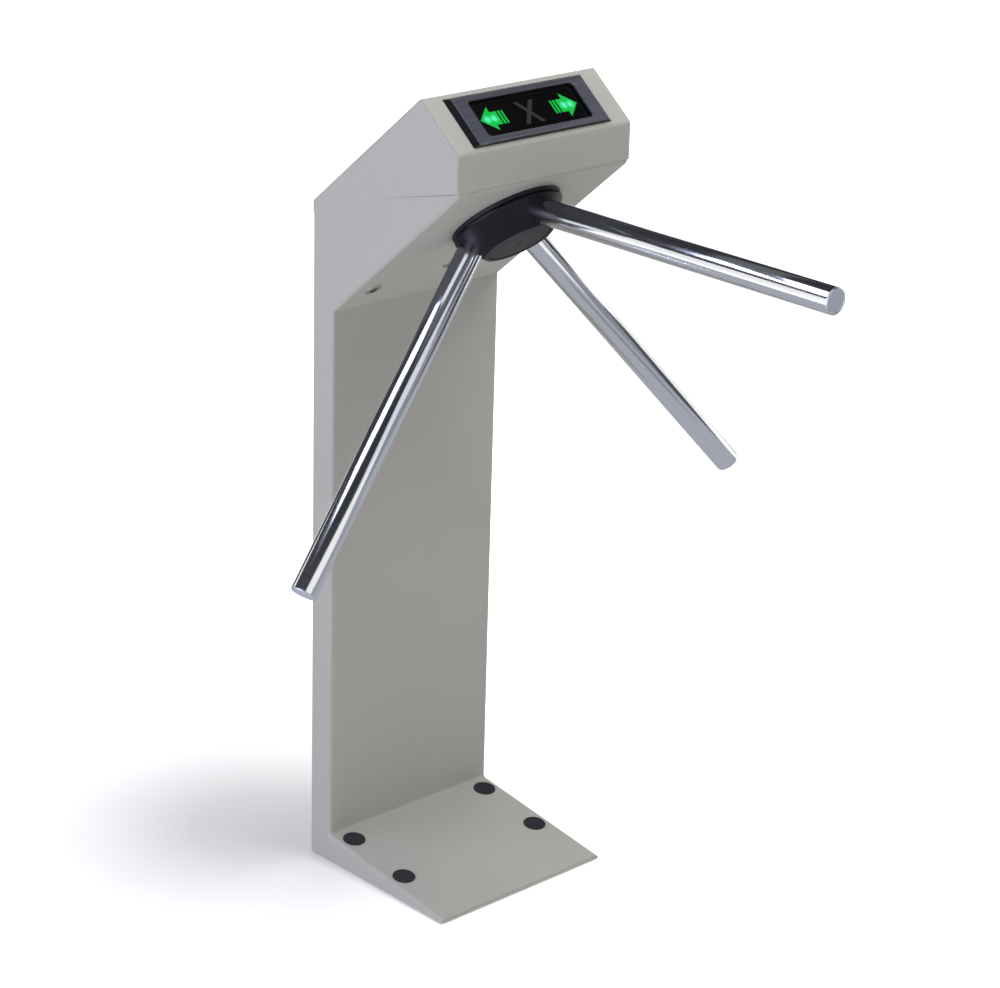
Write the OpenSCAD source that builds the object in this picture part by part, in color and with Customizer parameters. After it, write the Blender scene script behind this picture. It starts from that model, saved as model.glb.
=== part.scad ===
// Tripod turnstile: a thin sheet-metal column on a wedge base, with an
// overhanging head that carries a three-arm rotor on a tilted axis.
// Z is up, the front faces -Y, and the origin is the middle of the
// four floor-bolt holes at floor level.

/* [Overall size] */
// Width across the two side plates
body_w = 276; // [262:1:320]
// Height of the lid's ridge above the floor
body_h = 1050; // [1035:1:1080]
// Depth from the rear wall to the head's front face and the base's nose
body_d = 260; // [252:1:275]
// Depth of the upright column
column_d = 36; // [32:1:44]

/* [Side outline] */
// Height of the nose of the base
nose_h = 6.5; // [6.5:0.5:9]
// Height at which the base cover meets the column
rise_h = 36; // [30:1:48]
// Height of the head, from the knee where its overhang starts up to the ridge
head_h = 296.5; // [285:0.5:312]
// Height of the head's front face, from its lower corner to its upper corner
front_h = 50; // [43:1:61]
// Height from the head's front upper corner up to the ridge
brow_drop = 54; // [47:1:65]
// Distance from the head's front face back to the ridge
ridge_in = 67; // [60:1:75]
// Height from the lid's lower corner at the rear up to the ridge
rear_drop = 163; // [150:1:175]
// Length of the lid's rear lip
lip_drop = 15; // [8:1:20]

/* [Sheet metal] */
// Thickness of the side plates
side_t = 2; // [1.5:0.5:2.5]
// Thickness of the front sheet, base cover and rear wall
panel_t = 2; // [1.5:0.5:2.5]
// Thickness of the lid sheet
lid_t = 1.2; // [1:0.1:1.5]
// Gap between the lid and the sheets under it
lid_gap = 0.3; // [0.2:0.1:0.6]
// Radius of the side plates' rounded front edges
edge_r = 5; // [4:0.5:5]
// Bend radius at the front lower corner of the head
chin_r = 7; // [5.5:0.5:8]
// Bend radius at the front upper corner of the lid
brow_r = 7; // [4:1:9]
// Bend radius of the lid's ridge
ridge_r = 3; // [2:0.5:5]
// Bend radius where the base cover meets the column
foot_r = 4; // [2:0.5:6]
// Gap between the floor and the side plates
floor_gap = 1.5; // [1:0.5:2]
// Depth of the lid's side flanges
lid_flange = 10; // [6:1:14]

/* [Base] */
// Thickness of the floor plate
floor_t = 5; // [4:0.5:5]
// Distance from the sides of the base to the floor bolts
bolt_side = 23; // [22:0.5:38]
// Distance between the front and rear floor bolts
bolt_dy = 100; // [80:1:130]
// Distance from the rear wall to the rear floor bolts
bolt_rear_d = 60; // [56:1:70]
// Diameter of the floor-bolt holes
bolt_hole_d = 12; // [10:1:14]
// Inner radius of the wells round the floor bolts
well_r = 16; // [15.5:0.5:17]
// Wall of the wells
well_wall = 1.5; // [1:0.5:2]
// Radius of the plug holes in the base cover
plug_hole_r = 14; // [12:0.5:14.5]
// How far a plug's rim reaches over its hole
plug_lap = 0.8; // [0.5:0.1:1.5]
// Height of a plug's cap
plug_cap_h = 1.4; // [1:0.2:2.5]
// Depth of a plug's skirt
plug_skirt = 6; // [4:1:7]
// Distance from the rear wall to the cable inlet
inlet_d = 78; // [70:1:100]
// Bore radius of the cable grommet
inlet_r = 16; // [10:1:18]
// Wall of the cable grommet
grommet_wall = 6; // [4:1:8]

/* [Hub and arms] */
// Distance from the head's front lower corner, down the underside, to the hub axis
hub_in = 87.35106; // [81:0.00001:95]
// Angle between each arm and the hub axis
arm_cone = 49.6; // [48:0.1:51]
// Height above the underside at which the arm axes meet
arm_apex = 24.5; // [22:0.5:27]
// Diameter of the arms
arm_d = 32; // [28:1:33]
// Wall of the arm tubes
arm_wall = 2; // [1.5:0.5:3]
// Distance from the apex to the tip of an arm
arm_reach = 540; // [450:5:640]
// Distance from the apex to the root of an arm
arm_root = 70; // [69:0.5:71]
// Radius of the hub
hub_r = 71; // [70:0.5:74]
// How far the hub hangs below the underside
hub_out = 39; // [38:0.5:41]
// Gap between the fixed ring and the hub
hub_gap = 1; // [0.6:0.1:1.5]
// Thickness of the fixed ring
ring_t = 5; // [4:0.5:6]
// Radius of the hub's cap
cap_r = 40; // [36:0.5:41]

/* [Display] */
// Distance from the brow to the bezel's lower edge
bezel_low = 6; // [6:0.5:9]
// Width of the bezel at its base
bezel_w = 220; // [214:1:230]
// Height of the bezel at its base
bezel_h = 73; // [72:0.5:74]
// Width of the brushed frame
frame_w = 206; // [198:1:208]
// Height of the brushed frame
frame_h = 67; // [65:0.5:68]
// How far the frame stands above the lid
frame_rise = 6; // [4.5:0.5:8]
// Thickness of the brushed frame
frame_t = 1.2; // [0.8:0.1:2]
// Width of the window
window_w = 168; // [165:1:174]
// Height of the window
window_h = 53; // [50:0.5:55]
// Corner radius of the window
window_r = 6; // [3:0.5:8]
// Thickness of the window pane
pane_t = 2; // [1.5:0.5:3]
// Depth of the tray behind the display
tray_d = 17; // [14:1:20]

/* [Mechanism] */
// Gap between the underside sheet and the mechanism plate
plate_gap = 10; // [8:1:12]
// Thickness of the mechanism plate
plate_t = 6; // [5:1:7]
// Radius of the rotor shaft
shaft_r = 12.5; // [11.5:0.5:13]
// Outer radius of the bearings
bearing_r = 26; // [25.5:0.5:27]
// Width of the bearings
bearing_w = 15; // [14:0.5:15]
// Thickness of the control disc
disc_t = 8; // [7:0.5:9]
// Body radius of the control disc
disc_r = 38; // [34:1:40]
// Radius of the tips of its stop teeth
tooth_tip_r = 54; // [53:0.5:54.5]
// Width of its stop teeth
tooth_w = 10; // [8:0.5:10.5]
// Teeth of the main gear
gear_teeth = 48; // [48:1:48]
// Teeth of the pinion
pinion_teeth = 16; // [16:1:16]
// Module of the gears
gear_m = 2.5; // [2.5:0.5:2.5]
// Width of the gears
gear_w = 8; // [6:1:9]
// Throw of the crank pin
crank_throw = 12; // [10:0.5:13]
// Distance from a pawl's pivot to its nose
pawl_len = 37; // [36.5:0.1:37.5]
// Angle through which a pawl swings to engage
pawl_swing = 18; // [17.5:0.5:19]
// Distance from a pawl's pivot to its plunger pin
pawl_tail = 16; // [15.5:0.5:16.5]
// Travel gap between a pawl's nose and its tooth
pawl_gap = 0.6; // [0.4:0.1:1]

/* [Locks] */
// Distance of the lid lock from the side plate's outer face
lid_lock_side = 33; // [30:1:38]
// Distance of the lid lock from the mechanism plate's rear edge
lid_lock_off = 46.4; // [42:0.2:50]
// Distance of the release lock from the mechanism plate's rear edge
release_lock_off = 16; // [14:0.5:20]
// Radius of the lock barrels
lock_r = 8.5; // [7.5:0.5:9]
// Length of the lock cams
cam_len = 25; // [24:0.5:26]

/* [Hidden] */

$fn = 48;
eps = 0.01;
// Clearance of parts that slide over or into each other in one assembly
fit = 0.05;
// Radial clearance of running fits
run = 0.06;
// Air between a resting piece and its seat
rest = 0.3;
// Clearance round through bolts and studs
loose = 0.3;

// Places that the outline fixes
base_d = body_d;
head_d = body_d;
ridge_d = body_d - ridge_in;
bolt_dx = body_w - 2 * bolt_side;
knee_h = body_h - head_h;
brow_h = body_h - brow_drop;
chin_h = brow_h - front_h;
rear_top_h = body_h - rear_drop;
back_y = bolt_rear_d + bolt_dy / 2;
half_w = body_w / 2;
panel_half = half_w - edge_r;
under_slope = atan2(chin_h - knee_h, head_d - column_d);
face_slope = atan2(body_h - brow_h, head_d - ridge_d);
wedge_slope = atan2(rise_h - nose_h, base_d - column_d);
chin_tangent = chin_r * tan((90 - under_slope) / 2);
seam_h = chin_h + chin_tangent;
lid_out = lid_t + lid_gap;
hub_along = norm([head_d - column_d, chin_h - knee_h]) - hub_in;
hub_depth = column_d + hub_along * cos(under_slope);
hub_h = knee_h + hub_along * sin(under_slope);

// A point of the side outline: depth from the rear wall, height
function at(d, h) = [back_y - d, h];
function unit(v) = v / norm(v);
function left_of(v) = [-v[1], v[0]];
function reversed(p) = [for (i = [len(p) - 1:-1:0]) p[i]];

// Arc that rounds the corner b between a and c
function corner_arc(a, b, c, r, n) =
    let (u = unit(a - b), v = unit(c - b))
    let (half = acos(u * v) / 2)
    let (m = b + unit(u + v) * r / sin(half))
    let (s = b + u * r / tan(half) - m, e = b + v * r / tan(half) - m)
    let (a0 = atan2(s[1], s[0]), turn = atan2(s[0] * e[1] - s[1] * e[0], s * e))
    [for (i = [0:n]) m + r * [cos(a0 + turn * i / n), sin(a0 + turn * i / n)]];

// Open line with its inner corners rounded; a radius of 0 leaves one sharp
function rounded_line(p, r, n) = [for (i = [0:len(p) - 1])
    each (i == 0 || i == len(p) - 1 || r[i] == 0) ? [p[i]]
        : corner_arc(p[i - 1], p[i], p[i + 1], r[i], n)];

// Normal of a line's segment i, on its left
function seg_normal(p, i) = left_of(unit(p[i + 1] - p[i]));

// Parallel line at distance d to the left, with mitred corners
function beside(p, d) = [for (i = [0:len(p) - 1])
    i == 0 ? p[0] + d * seg_normal(p, 0)
    : i == len(p) - 1 ? p[i] + d * seg_normal(p, i - 1)
    : let (n0 = seg_normal(p, i - 1), n1 = seg_normal(p, i)) p[i] + d * (n0 + n1) / (1 + n0 * n1)];

// Outline of a bent sheet of thickness t under the line p
function sheet(p, t) = concat(p, reversed(beside(p, -t)));

// The front line, from the nose of the base to the lid's front seam
bend_steps = 4;
front_line = rounded_line(
    [at(base_d, nose_h), at(column_d, rise_h), at(column_d, knee_h), at(head_d, chin_h),
        at(head_d, seam_h + lid_gap)],
    [0, foot_r, 0, chin_r, 0], bend_steps);
front_line_inset = beside(front_line, -edge_r);
// Where the base cover ends on the front line, after its foot bend
foot_end = bend_steps + 1;
cover_line = [for (i = [0:foot_end]) front_line[i]];
panel_line = [for (i = [foot_end:len(front_line) - 1]) front_line[i]];

// The lid's outer line, from its front seam over the ridge to its rear lip
lid_line = rounded_line(
    [at(head_d, seam_h + 2 * lid_gap), at(head_d, brow_h), at(ridge_d, body_h), at(-lid_out, rear_top_h),
        at(-lid_out, rear_top_h - lip_drop)],
    [0, brow_r, ridge_r, 1.5, 0], bend_steps);
under_lid_line = beside(lid_line, -lid_out);

// Height of the lid's inner face at depth d on its back slope
back_slope_rise = (body_h - rear_top_h) / (ridge_d + lid_out);
function lid_inner_h(d) = rear_top_h + (d + lid_out) * back_slope_rise
    - lid_t * sqrt(1 + back_slope_rise * back_slope_rise);

// Height of the base cover's inner face at depth d
function cover_inner_h(d) = nose_h + (base_d - d) * tan(wedge_slope) - panel_t / cos(wedge_slope);

// Extrudes an outline in the depth-height plane along X
module across(x0, w) {
    translate([x0, 0, 0]) rotate([90, 0, 90]) linear_extrude(w) children();
}

// Frame on the hub axis: +Z into the head, -Z out along the hub, -Y forward
module at_hub() {
    translate([0, back_y - hub_depth, hub_h]) rotate([-under_slope, 0, 0]) children();
}

// Frame on the display face: +Y up the face from the brow, +Z outward
module at_face() {
    translate([0, back_y - head_d, brow_h]) rotate([face_slope, 0, 0]) children();
}

// Frame on the base cover: +Y up the slope from the nose, +Z outward
module at_cover() {
    translate([0, back_y - base_d, nose_h]) rotate([wedge_slope, 0, 0]) children();
}

// Frame along an arm, from the apex outward; turn is counted from the front arm
module at_arm(turn) {
    at_hub() translate([0, 0, arm_apex]) rotate([0, 0, turn]) rotate([180 - arm_cone, 0, 0]) children();
}

// Round piece between two heights
module disc(r, z0, z1) {
    translate([0, 0, z0]) cylinder(r = r, h = z1 - z0);
}

// Ring between two heights
module ring(r_out, r_in, z0, z1) {
    difference() {
        disc(r_out, z0, z1);
        disc(r_in, z0 - 1, z1 + 1);
    }
}

// Box between two corners
module block(a, b) {
    translate(a) cube(b - a);
}

// Rectangle with rounded corners, centred
module rounded_rect(w, h, r) {
    square([w - 2 * r, h], center = true);
    square([w, h - 2 * r], center = true);
    for (x = [-1, 1], y = [-1, 1]) translate([x * (w / 2 - r), y * (h / 2 - r)]) circle(r);
}

// Places the floor bolts
module each_bolt() {
    for (x = [-1, 1], y = [-1, 1]) translate([x * bolt_dx / 2, y * bolt_dy / 2, 0]) children();
}

// Places the plug holes, square to the base cover above each floor bolt
module each_plug() {
    for (x = [-1, 1], y = [-1, 1])
        at_cover() translate([x * bolt_dx / 2, (base_d - back_y + y * bolt_dy / 2) / cos(wedge_slope), 0])
            children();
}

// Base

grommet_lap = 4;
grommet_flange_t = 3;
grommet_neck = 2;
grommet_neck_h = 7;
grommet_foot = 0.5;
grommet_r = inlet_r + grommet_wall;
floor_front_gap = 18;

module floor_plate() {
    color("dimgray") difference() {
        block([-half_w + side_t, back_y - base_d + floor_front_gap, 0],
            [half_w - side_t, back_y - panel_t, floor_t]);
        each_bolt() disc(bolt_hole_d / 2, -1, floor_t + 1);
        translate([0, back_y - inlet_d, 0]) disc(grommet_r, -1, floor_t + 1);
    }
}

// The cover's front is folded down to a strip that reaches in behind the side plates' curls
fold_end = 1;
strip_h = 1.8;
strip_reach = 2;
strip_rise = 0.2;
strip_back = 1;
module base_cover() {
    color("silver") difference() {
        union() {
            across(-panel_half, 2 * panel_half) polygon(sheet(cover_line, panel_t));
            block([-panel_half, back_y - base_d, floor_gap],
                [panel_half, back_y - base_d + panel_t, nose_h - fold_end]);
            block([-panel_half - strip_reach, back_y - base_d + strip_back, floor_gap + strip_rise],
                [panel_half + strip_reach, back_y - base_d + panel_t, floor_gap + strip_rise + strip_h]);
        }
        each_plug() disc(plug_hole_r, -2 * panel_t, panel_t);
    }
}

module anchor_wells() {
    color("gray") difference() {
        each_bolt() ring(well_r + well_wall, well_r, floor_t, rise_h);
        across(-half_w, body_w) polygon([
            at(base_d, cover_inner_h(base_d)), at(column_d, cover_inner_h(column_d)),
            at(column_d, 2 * rise_h), at(base_d, 2 * rise_h)]);
    }
}

plug_wall = 1.2;
plug_lead = 1;
plug_floor = 0.2;
plug_chamfer = 0.6;
plug_rim_in = 0.8;
plug_dish = 0.5;
plug_crown = 0.3;
module anchor_plugs() {
    skirt_in_r = plug_hole_r - plug_lead - plug_wall;
    cap_rim_r = plug_hole_r + plug_lap;
    color([0.16, 0.16, 0.19]) each_plug() rotate_extrude() polygon([
        [0, plug_floor], [skirt_in_r, plug_floor], [skirt_in_r, -plug_skirt],
        [plug_hole_r - plug_lead, -plug_skirt], [plug_hole_r - fit, -panel_t], [plug_hole_r - fit, 0],
        [cap_rim_r, 0], [cap_rim_r, plug_cap_h - plug_chamfer],
        [cap_rim_r - plug_chamfer, plug_cap_h], [plug_hole_r - plug_rim_in, plug_cap_h],
        [plug_hole_r - 2 * plug_rim_in, plug_cap_h - plug_dish], [0, plug_cap_h - plug_crown]]);
}

module cable_grommet() {
    color("black") translate([0, back_y - inlet_d, 0]) difference() {
        union() {
            disc(grommet_r - fit, grommet_foot, floor_t + 1);
            disc(grommet_r + grommet_lap, floor_t, floor_t + grommet_flange_t);
            disc(grommet_r - grommet_neck, floor_t, floor_t + grommet_neck_h);
        }
        disc(inlet_r, -1, floor_t + grommet_neck_h + 1);
    }
}

// Body sheets

// Side plate with one curled edge along the front line. Its points are, for each
// point of that line, an outer and an inner quarter turn in short flats, and then
// the rest of the outline on the outer and on the inner face.
curl_steps = 6;
curl_n = curl_steps + 1;
line_n = len(front_line);
rest_outline = concat([for (i = [0:len(under_lid_line) - 2]) under_lid_line[i]], [at(0, floor_gap)]);
rest_n = len(rest_outline);
function curl_point(i, k, r) =
    let (a = 90 * k / curl_steps, p0 = front_line_inset[i])
    let (p = p0 + (front_line[i] - p0) * sin(a) * r / edge_r)
    [-half_w + edge_r - r * cos(a), p[0], p[1]];
function out_at(i, k) = i * curl_n + k;
function in_at(i, k) = (line_n + i) * curl_n + k;
rest_out_0 = 2 * line_n * curl_n;
rest_in_0 = rest_out_0 + rest_n;
function rest_out(j) = j < 0 ? out_at(line_n - 1, 0) : j < rest_n ? rest_out_0 + j : out_at(0, 0);
function rest_in(j) = j < 0 ? in_at(line_n - 1, 0) : j < rest_n ? rest_in_0 + j : in_at(0, 0);

knee_i = foot_end + 1;

// Triangles from one corner to each edge of a line
function fan(apex, rim) = [for (i = [0:len(rim) - 2]) [apex, rim[i], rim[i + 1]]];

// Fills one face: the base and column from the rear foot, the head from its rear corner
function plate_face(line, rest) = let (foot = rest[rest_n - 1], corner = rest[rest_n - 2]) concat(
    fan(foot, [for (i = [0:knee_i]) line[i]]),
    [[foot, line[knee_i], corner]],
    fan(corner, concat([for (i = [knee_i:line_n - 1]) line[i]], [for (j = [0:rest_n - 3]) rest[j]])));

module side_plate() {
    points = concat(
        [for (i = [0:line_n - 1], k = [0:curl_steps]) curl_point(i, k, edge_r)],
        [for (i = [0:line_n - 1], k = [0:curl_steps]) curl_point(i, k, edge_r - side_t)],
        [for (p = rest_outline) [-half_w, p[0], p[1]]],
        [for (p = rest_outline) [-half_w + side_t, p[0], p[1]]]);
    outer_face = plate_face([for (i = [0:line_n - 1]) out_at(i, 0)], [for (j = [0:rest_n - 1]) rest_out(j)]);
    inner_face = plate_face([for (i = [0:line_n - 1]) in_at(i, 0)], [for (j = [0:rest_n - 1]) rest_in(j)]);
    nose_end = [for (k = [0:curl_steps - 1]) [out_at(0, k), out_at(0, k + 1), in_at(0, k + 1), in_at(0, k)]];
    seam_end = [for (k = [0:curl_steps - 1])
        [in_at(line_n - 1, k), in_at(line_n - 1, k + 1), out_at(line_n - 1, k + 1), out_at(line_n - 1, k)]];
    outer_curl = [for (i = [0:line_n - 2], k = [0:curl_steps - 1])
        [out_at(i, k), out_at(i + 1, k), out_at(i + 1, k + 1), out_at(i, k + 1)]];
    inner_curl = [for (i = [0:line_n - 2], k = [0:curl_steps - 1])
        [in_at(i, k), in_at(i, k + 1), in_at(i + 1, k + 1), in_at(i + 1, k)]];
    lip = [for (i = [0:line_n - 2])
        [out_at(i, curl_steps), out_at(i + 1, curl_steps), in_at(i + 1, curl_steps), in_at(i, curl_steps)]];
    rim = [for (j = [0:rest_n]) [rest_out(j - 1), rest_out(j), rest_in(j), rest_in(j - 1)]];
    polyhedron(points, concat([for (f = outer_face) reversed(f)], inner_face, nose_end, seam_end,
        outer_curl, inner_curl, lip, rim));
}

module left_side_plate() {
    color([0.72, 0.72, 0.74]) side_plate();
}

module right_side_plate() {
    color([0.72, 0.72, 0.74]) mirror([1, 0, 0]) side_plate();
}

stud_x = 100;
stud_front_y = -64;
stud_rear_y = 100;
stud_r = 3;
module each_stud() {
    for (x = [-stud_x, stud_x], y = [stud_front_y, stud_rear_y]) translate([x, y, 0]) children();
}

upstand_h = 12;
hook_side = 48;
hook_x = half_w - hook_side;
hook_w = 16;
ring_in_r = 47;
ring_spigot = 2;
plate_rear_y = 112;
lid_lock_x = half_w - lid_lock_side;
lid_lock_y = plate_rear_y + lid_lock_off;
release_lock_y = plate_rear_y + release_lock_off;
plate_z0 = panel_t + plate_gap;
plate_z1 = plate_z0 + plate_t;
nut_h = 5;

module front_panel() {
    color([0.68, 0.68, 0.67]) {
        difference() {
            union() {
                across(-panel_half, 2 * panel_half) polygon(sheet(panel_line, panel_t));
                block([-panel_half, back_y - head_d + lid_out, chin_h],
                    [panel_half, back_y - head_d + lid_out + panel_t, seam_h + upstand_h]);
            }
            at_hub() {
                disc(ring_in_r + ring_spigot, -panel_t, 2 * panel_t);
                translate([-lid_lock_x, lid_lock_y, 0]) disc(lock_r + loose, -panel_t, 2 * panel_t);
                translate([0, release_lock_y, 0]) disc(lock_r + loose, -panel_t, 2 * panel_t);
            }
            for (x = [-hook_x, hook_x])
                block([x - hook_w / 2, back_y - head_d + lid_out - eps, seam_h + 1],
                    [x + hook_w / 2, back_y - head_d + lid_out + panel_t + eps, seam_h + 2 * upstand_h]);
        }
        at_hub() each_stud() disc(stud_r, panel_t - eps, plate_z1 + nut_h + 1);
    }
}

module rear_panel() {
    color([0.68, 0.68, 0.67])
        block([-half_w + side_t, back_y - panel_t, floor_gap],
            [half_w - side_t, back_y, lid_inner_h(0) - lid_gap]);
}

// Channels across the column, spaced down from the knee
stiffener_side = 38;
stiffener_w = body_w - 2 * stiffener_side;
stiffener_h = 20;
stiffener_drop = 93.5;
stiffener_pitch = 240;
stiffener_n = floor((knee_h - stiffener_drop - rise_h) / stiffener_pitch);
stiffener_zs = [for (i = [stiffener_n:-1:0]) knee_h - stiffener_drop - i * stiffener_pitch];
stiffener_cable_r = 8;
module column_stiffeners() {
    d0 = panel_t;
    d1 = column_d - panel_t;
    color("gray") for (z = stiffener_zs) difference() {
        across(-stiffener_w / 2, stiffener_w) polygon([
            at(d0, z), at(d1, z), at(d1, z + stiffener_h), at(d1 - panel_t, z + stiffener_h),
            at(d1 - panel_t, z + panel_t), at(d0 + panel_t, z + panel_t),
            at(d0 + panel_t, z + stiffener_h), at(d0, z + stiffener_h)]);
        translate([0, back_y - column_d / 2, z]) disc(stiffener_cable_r, -1, panel_t + 1);
    }
}

// Fixed parts of the mechanism

ring_band = 1.2;
ring_slope = 0.8;
ring_edge = 2;
ring_lead = 1;
module hub_ring() {
    color([0.1, 0.1, 0.12]) at_hub() rotate_extrude($fn = 96) polygon([
        [ring_in_r, panel_t], [ring_in_r + ring_spigot - fit, panel_t],
        [ring_in_r + ring_spigot - fit, 0], [hub_r, 0], [hub_r, -ring_band],
        [hub_r - ring_slope, -ring_t + ring_lead], [hub_r - ring_edge, -ring_t], [ring_in_r, -ring_t]]);
}

standoff_r = 7;
module standoffs() {
    color("lightgray") at_hub() each_stud() ring(standoff_r, stud_r + loose, panel_t, plate_z0);
}

stud_nut_r = 5.8;
module stud_nuts() {
    color("lightgray") at_hub() each_stud() difference() {
        translate([0, 0, plate_z1]) cylinder(r = stud_nut_r, h = nut_h, $fn = 6);
        disc(stud_r + fit, plate_z1 - 1, plate_z1 + nut_h + 1);
    }
}

// The bearing housing: one bearing at each end, a shoulder between them
bearing_wall = 5;
housing_r = bearing_r + bearing_wall;
low_bearing_z = -14;
low_bearing_top = low_bearing_z + bearing_w;
up_bearing_z = 21;
up_bearing_top = up_bearing_z + bearing_w;
flange_r = 45;
flange_t = 7;
screw_ring_r = 38;
screw_r = 3;
screw_head_r = 5;
screw_head_h = 6;
screw_hex_r = 2.9;
screw_hex_d = 3;
screw_end = 2;
shoulder_r = 22;

plate_half = 112;
plate_corner_r = 8;
plate_front_y = -72;
gear_centre_d = gear_m * (gear_teeth + pinion_teeth) / 2;
spring_post_x = 95;

// The right pawl's tooth stands at 30 degrees; places by it are a distance from
// the hub axis along the tooth and a distance across it
tooth_dir = [cos(30), sin(30)];
tooth_side = [-sin(30), cos(30)];
function by_tooth(rho, across) = rho * tooth_dir + across * tooth_side;
nose_across = -(tooth_w / 2 + pawl_gap);
nose_in_r = 46.5;
nose_out_r = 56;
pivot_rho = 50;
pawl_pivot = by_tooth(pivot_rho, nose_across - pawl_len);

module each_housing_screw() {
    for (a = [45:90:315]) rotate([0, 0, a]) translate([screw_ring_r, 0, 0]) children();
}

module mechanism_plate() {
    color("gainsboro") at_hub() difference() {
        translate([0, (plate_front_y + plate_rear_y) / 2, plate_z0]) linear_extrude(plate_t)
            rounded_rect(2 * plate_half, plate_rear_y - plate_front_y, plate_corner_r);
        disc(housing_r + loose, plate_z0 - 1, plate_z1 + 1);
        each_stud() disc(stud_r + loose, plate_z0 - 1, plate_z1 + 1);
        each_housing_screw() disc(screw_r + fit, plate_z0 - 1, plate_z1 + 1);
    }
}

module bearing_housing() {
    color("darkgray") at_hub() difference() {
        union() {
            disc(housing_r, low_bearing_z, up_bearing_top);
            disc(flange_r, plate_z1, plate_z1 + flange_t);
        }
        disc(bearing_r + fit, low_bearing_z - 1, low_bearing_top);
        disc(shoulder_r, low_bearing_z, up_bearing_top);
        disc(bearing_r + fit, up_bearing_z, up_bearing_top + 1);
        each_housing_screw() disc(screw_r + loose, plate_z1 - 1, plate_z1 + flange_t + 1);
    }
}

module housing_screws() {
    color("lightgray") at_hub() each_housing_screw() difference() {
        union() {
            disc(screw_r, plate_z0 - screw_end, plate_z1 + flange_t + 1);
            disc(screw_head_r, plate_z1 + flange_t, plate_z1 + flange_t + screw_head_h);
        }
        translate([0, 0, plate_z1 + flange_t + screw_head_h - screw_hex_d])
            cylinder(r = screw_hex_r, h = screw_hex_d + 1, $fn = 6);
    }
}

// Outer ring of a sealed bearing, with its seals reaching in to the inner ring
inner_ring_r = 16.5;
outer_ring_wall = 3;
seal_in = 0.8;
module outer_ring(z0) {
    rotate_extrude() translate([0, z0]) polygon([
        [bearing_r, 0], [bearing_r, bearing_w], [bearing_r - outer_ring_wall, bearing_w],
        [bearing_r - outer_ring_wall, bearing_w - seal_in], [inner_ring_r + rest, bearing_w - seal_in],
        [inner_ring_r + rest, seal_in], [bearing_r - outer_ring_wall, seal_in],
        [bearing_r - outer_ring_wall, 0]]);
}

module bearing_outer_rings() {
    color("silver") at_hub() {
        outer_ring(low_bearing_z);
        outer_ring(up_bearing_z);
    }
}

// Heights on the rotor shaft above the upper bearing
disc_lift = 2;
gear_lift = 4;
encoder_lift = 10;
disc_z = up_bearing_top + disc_lift;
gear_z = disc_z + disc_t + gear_lift;
gear_top = gear_z + gear_w;
encoder_z = gear_top + encoder_lift;
encoder_t = 1.5;
encoder_r = 40;
encoder_pitch = 20;
encoder_slot_w = 4;
encoder_slot_d = 6;
damper_r = 24;
damper_drop = 6;
damper_step_r = 19;
damper_step_h = 4;
damper_floor = 3;
damper_top = gear_z - damper_drop;
pinion_shaft_r = 6;

module damper_body() {
    color([0.2, 0.2, 0.22]) at_hub() translate([0, gear_centre_d, 0]) difference() {
        union() {
            disc(damper_r, plate_z1, damper_top - damper_step_h);
            disc(damper_step_r, plate_z1, damper_top);
        }
        disc(pinion_shaft_r + run, plate_z1 + damper_floor, damper_top + 1);
    }
}

solenoid_x = pawl_pivot[0] + pawl_tail;
solenoid_half = 14;
solenoid_off = 17;
solenoid_len = 29;
solenoid_y1 = pawl_pivot[1] - solenoid_off;
solenoid_y0 = solenoid_y1 - solenoid_len;
plunger_z = disc_z + 2;
plunger_r = 6;
coil_r = 13;
bracket_t = 2.5;

module solenoid_frames() {
    color("lightslategray") at_hub() for (s = [-1, 1]) translate([s * solenoid_x, 0, 0]) difference() {
        union() {
            block([-solenoid_half, solenoid_y0, plate_z1],
                [solenoid_half, solenoid_y1, plate_z1 + bracket_t]);
            for (y = [solenoid_y0, solenoid_y1 - bracket_t])
                block([-solenoid_half, y, plate_z1], [solenoid_half, y + bracket_t, plunger_z + coil_r + 1]);
        }
        translate([0, solenoid_y0 - 1, plunger_z]) rotate([-90, 0, 0])
            disc(plunger_r + loose, 0, solenoid_y1 - solenoid_y0 + 2);
    }
}

module solenoid_coils() {
    color([0.55, 0.2, 0.15]) at_hub() for (s = [-1, 1])
        translate([s * solenoid_x, 0, plunger_z]) rotate([-90, 0, 0])
            ring(coil_r, plunger_r + loose, solenoid_y0 + bracket_t, solenoid_y1 - bracket_t);
}

pivot_r = 5;
pivot_collar_r = 8;
pivot_clip_r = 7.5;
pivot_clip_t = 1.2;
module pawl_pivots() {
    color("silver") at_hub() for (s = [-1, 1]) translate([s * pawl_pivot[0], pawl_pivot[1], 0]) {
        disc(pivot_collar_r, plate_z1, disc_z - rest);
        disc(pivot_r, plate_z1, disc_z + disc_t + 1);
        disc(pivot_clip_r, disc_z + disc_t + rest, disc_z + disc_t + rest + pivot_clip_t);
    }
}

crank_z = gear_top;
crank_t = 5;
spring_lift = 6;
spring_z = crank_z + crank_t + spring_lift;
crank_pin_r = 3;
spring_post_r = 5;
spring_post_foot_r = 8;
spring_post_foot_h = 4;
hook_groove = 1;
groove_half = 2;
head_t = 3;

module spring_post() {
    color("silver") at_hub() translate([spring_post_x, gear_centre_d, 0]) {
        disc(spring_post_foot_r, plate_z1, plate_z1 + spring_post_foot_h);
        disc(spring_post_r, plate_z1, spring_z - groove_half);
        disc(spring_post_r - hook_groove, plate_z1, spring_z + groove_half + 2);
        disc(spring_post_r, spring_z + groove_half, spring_z + groove_half + head_t);
    }
}

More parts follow.
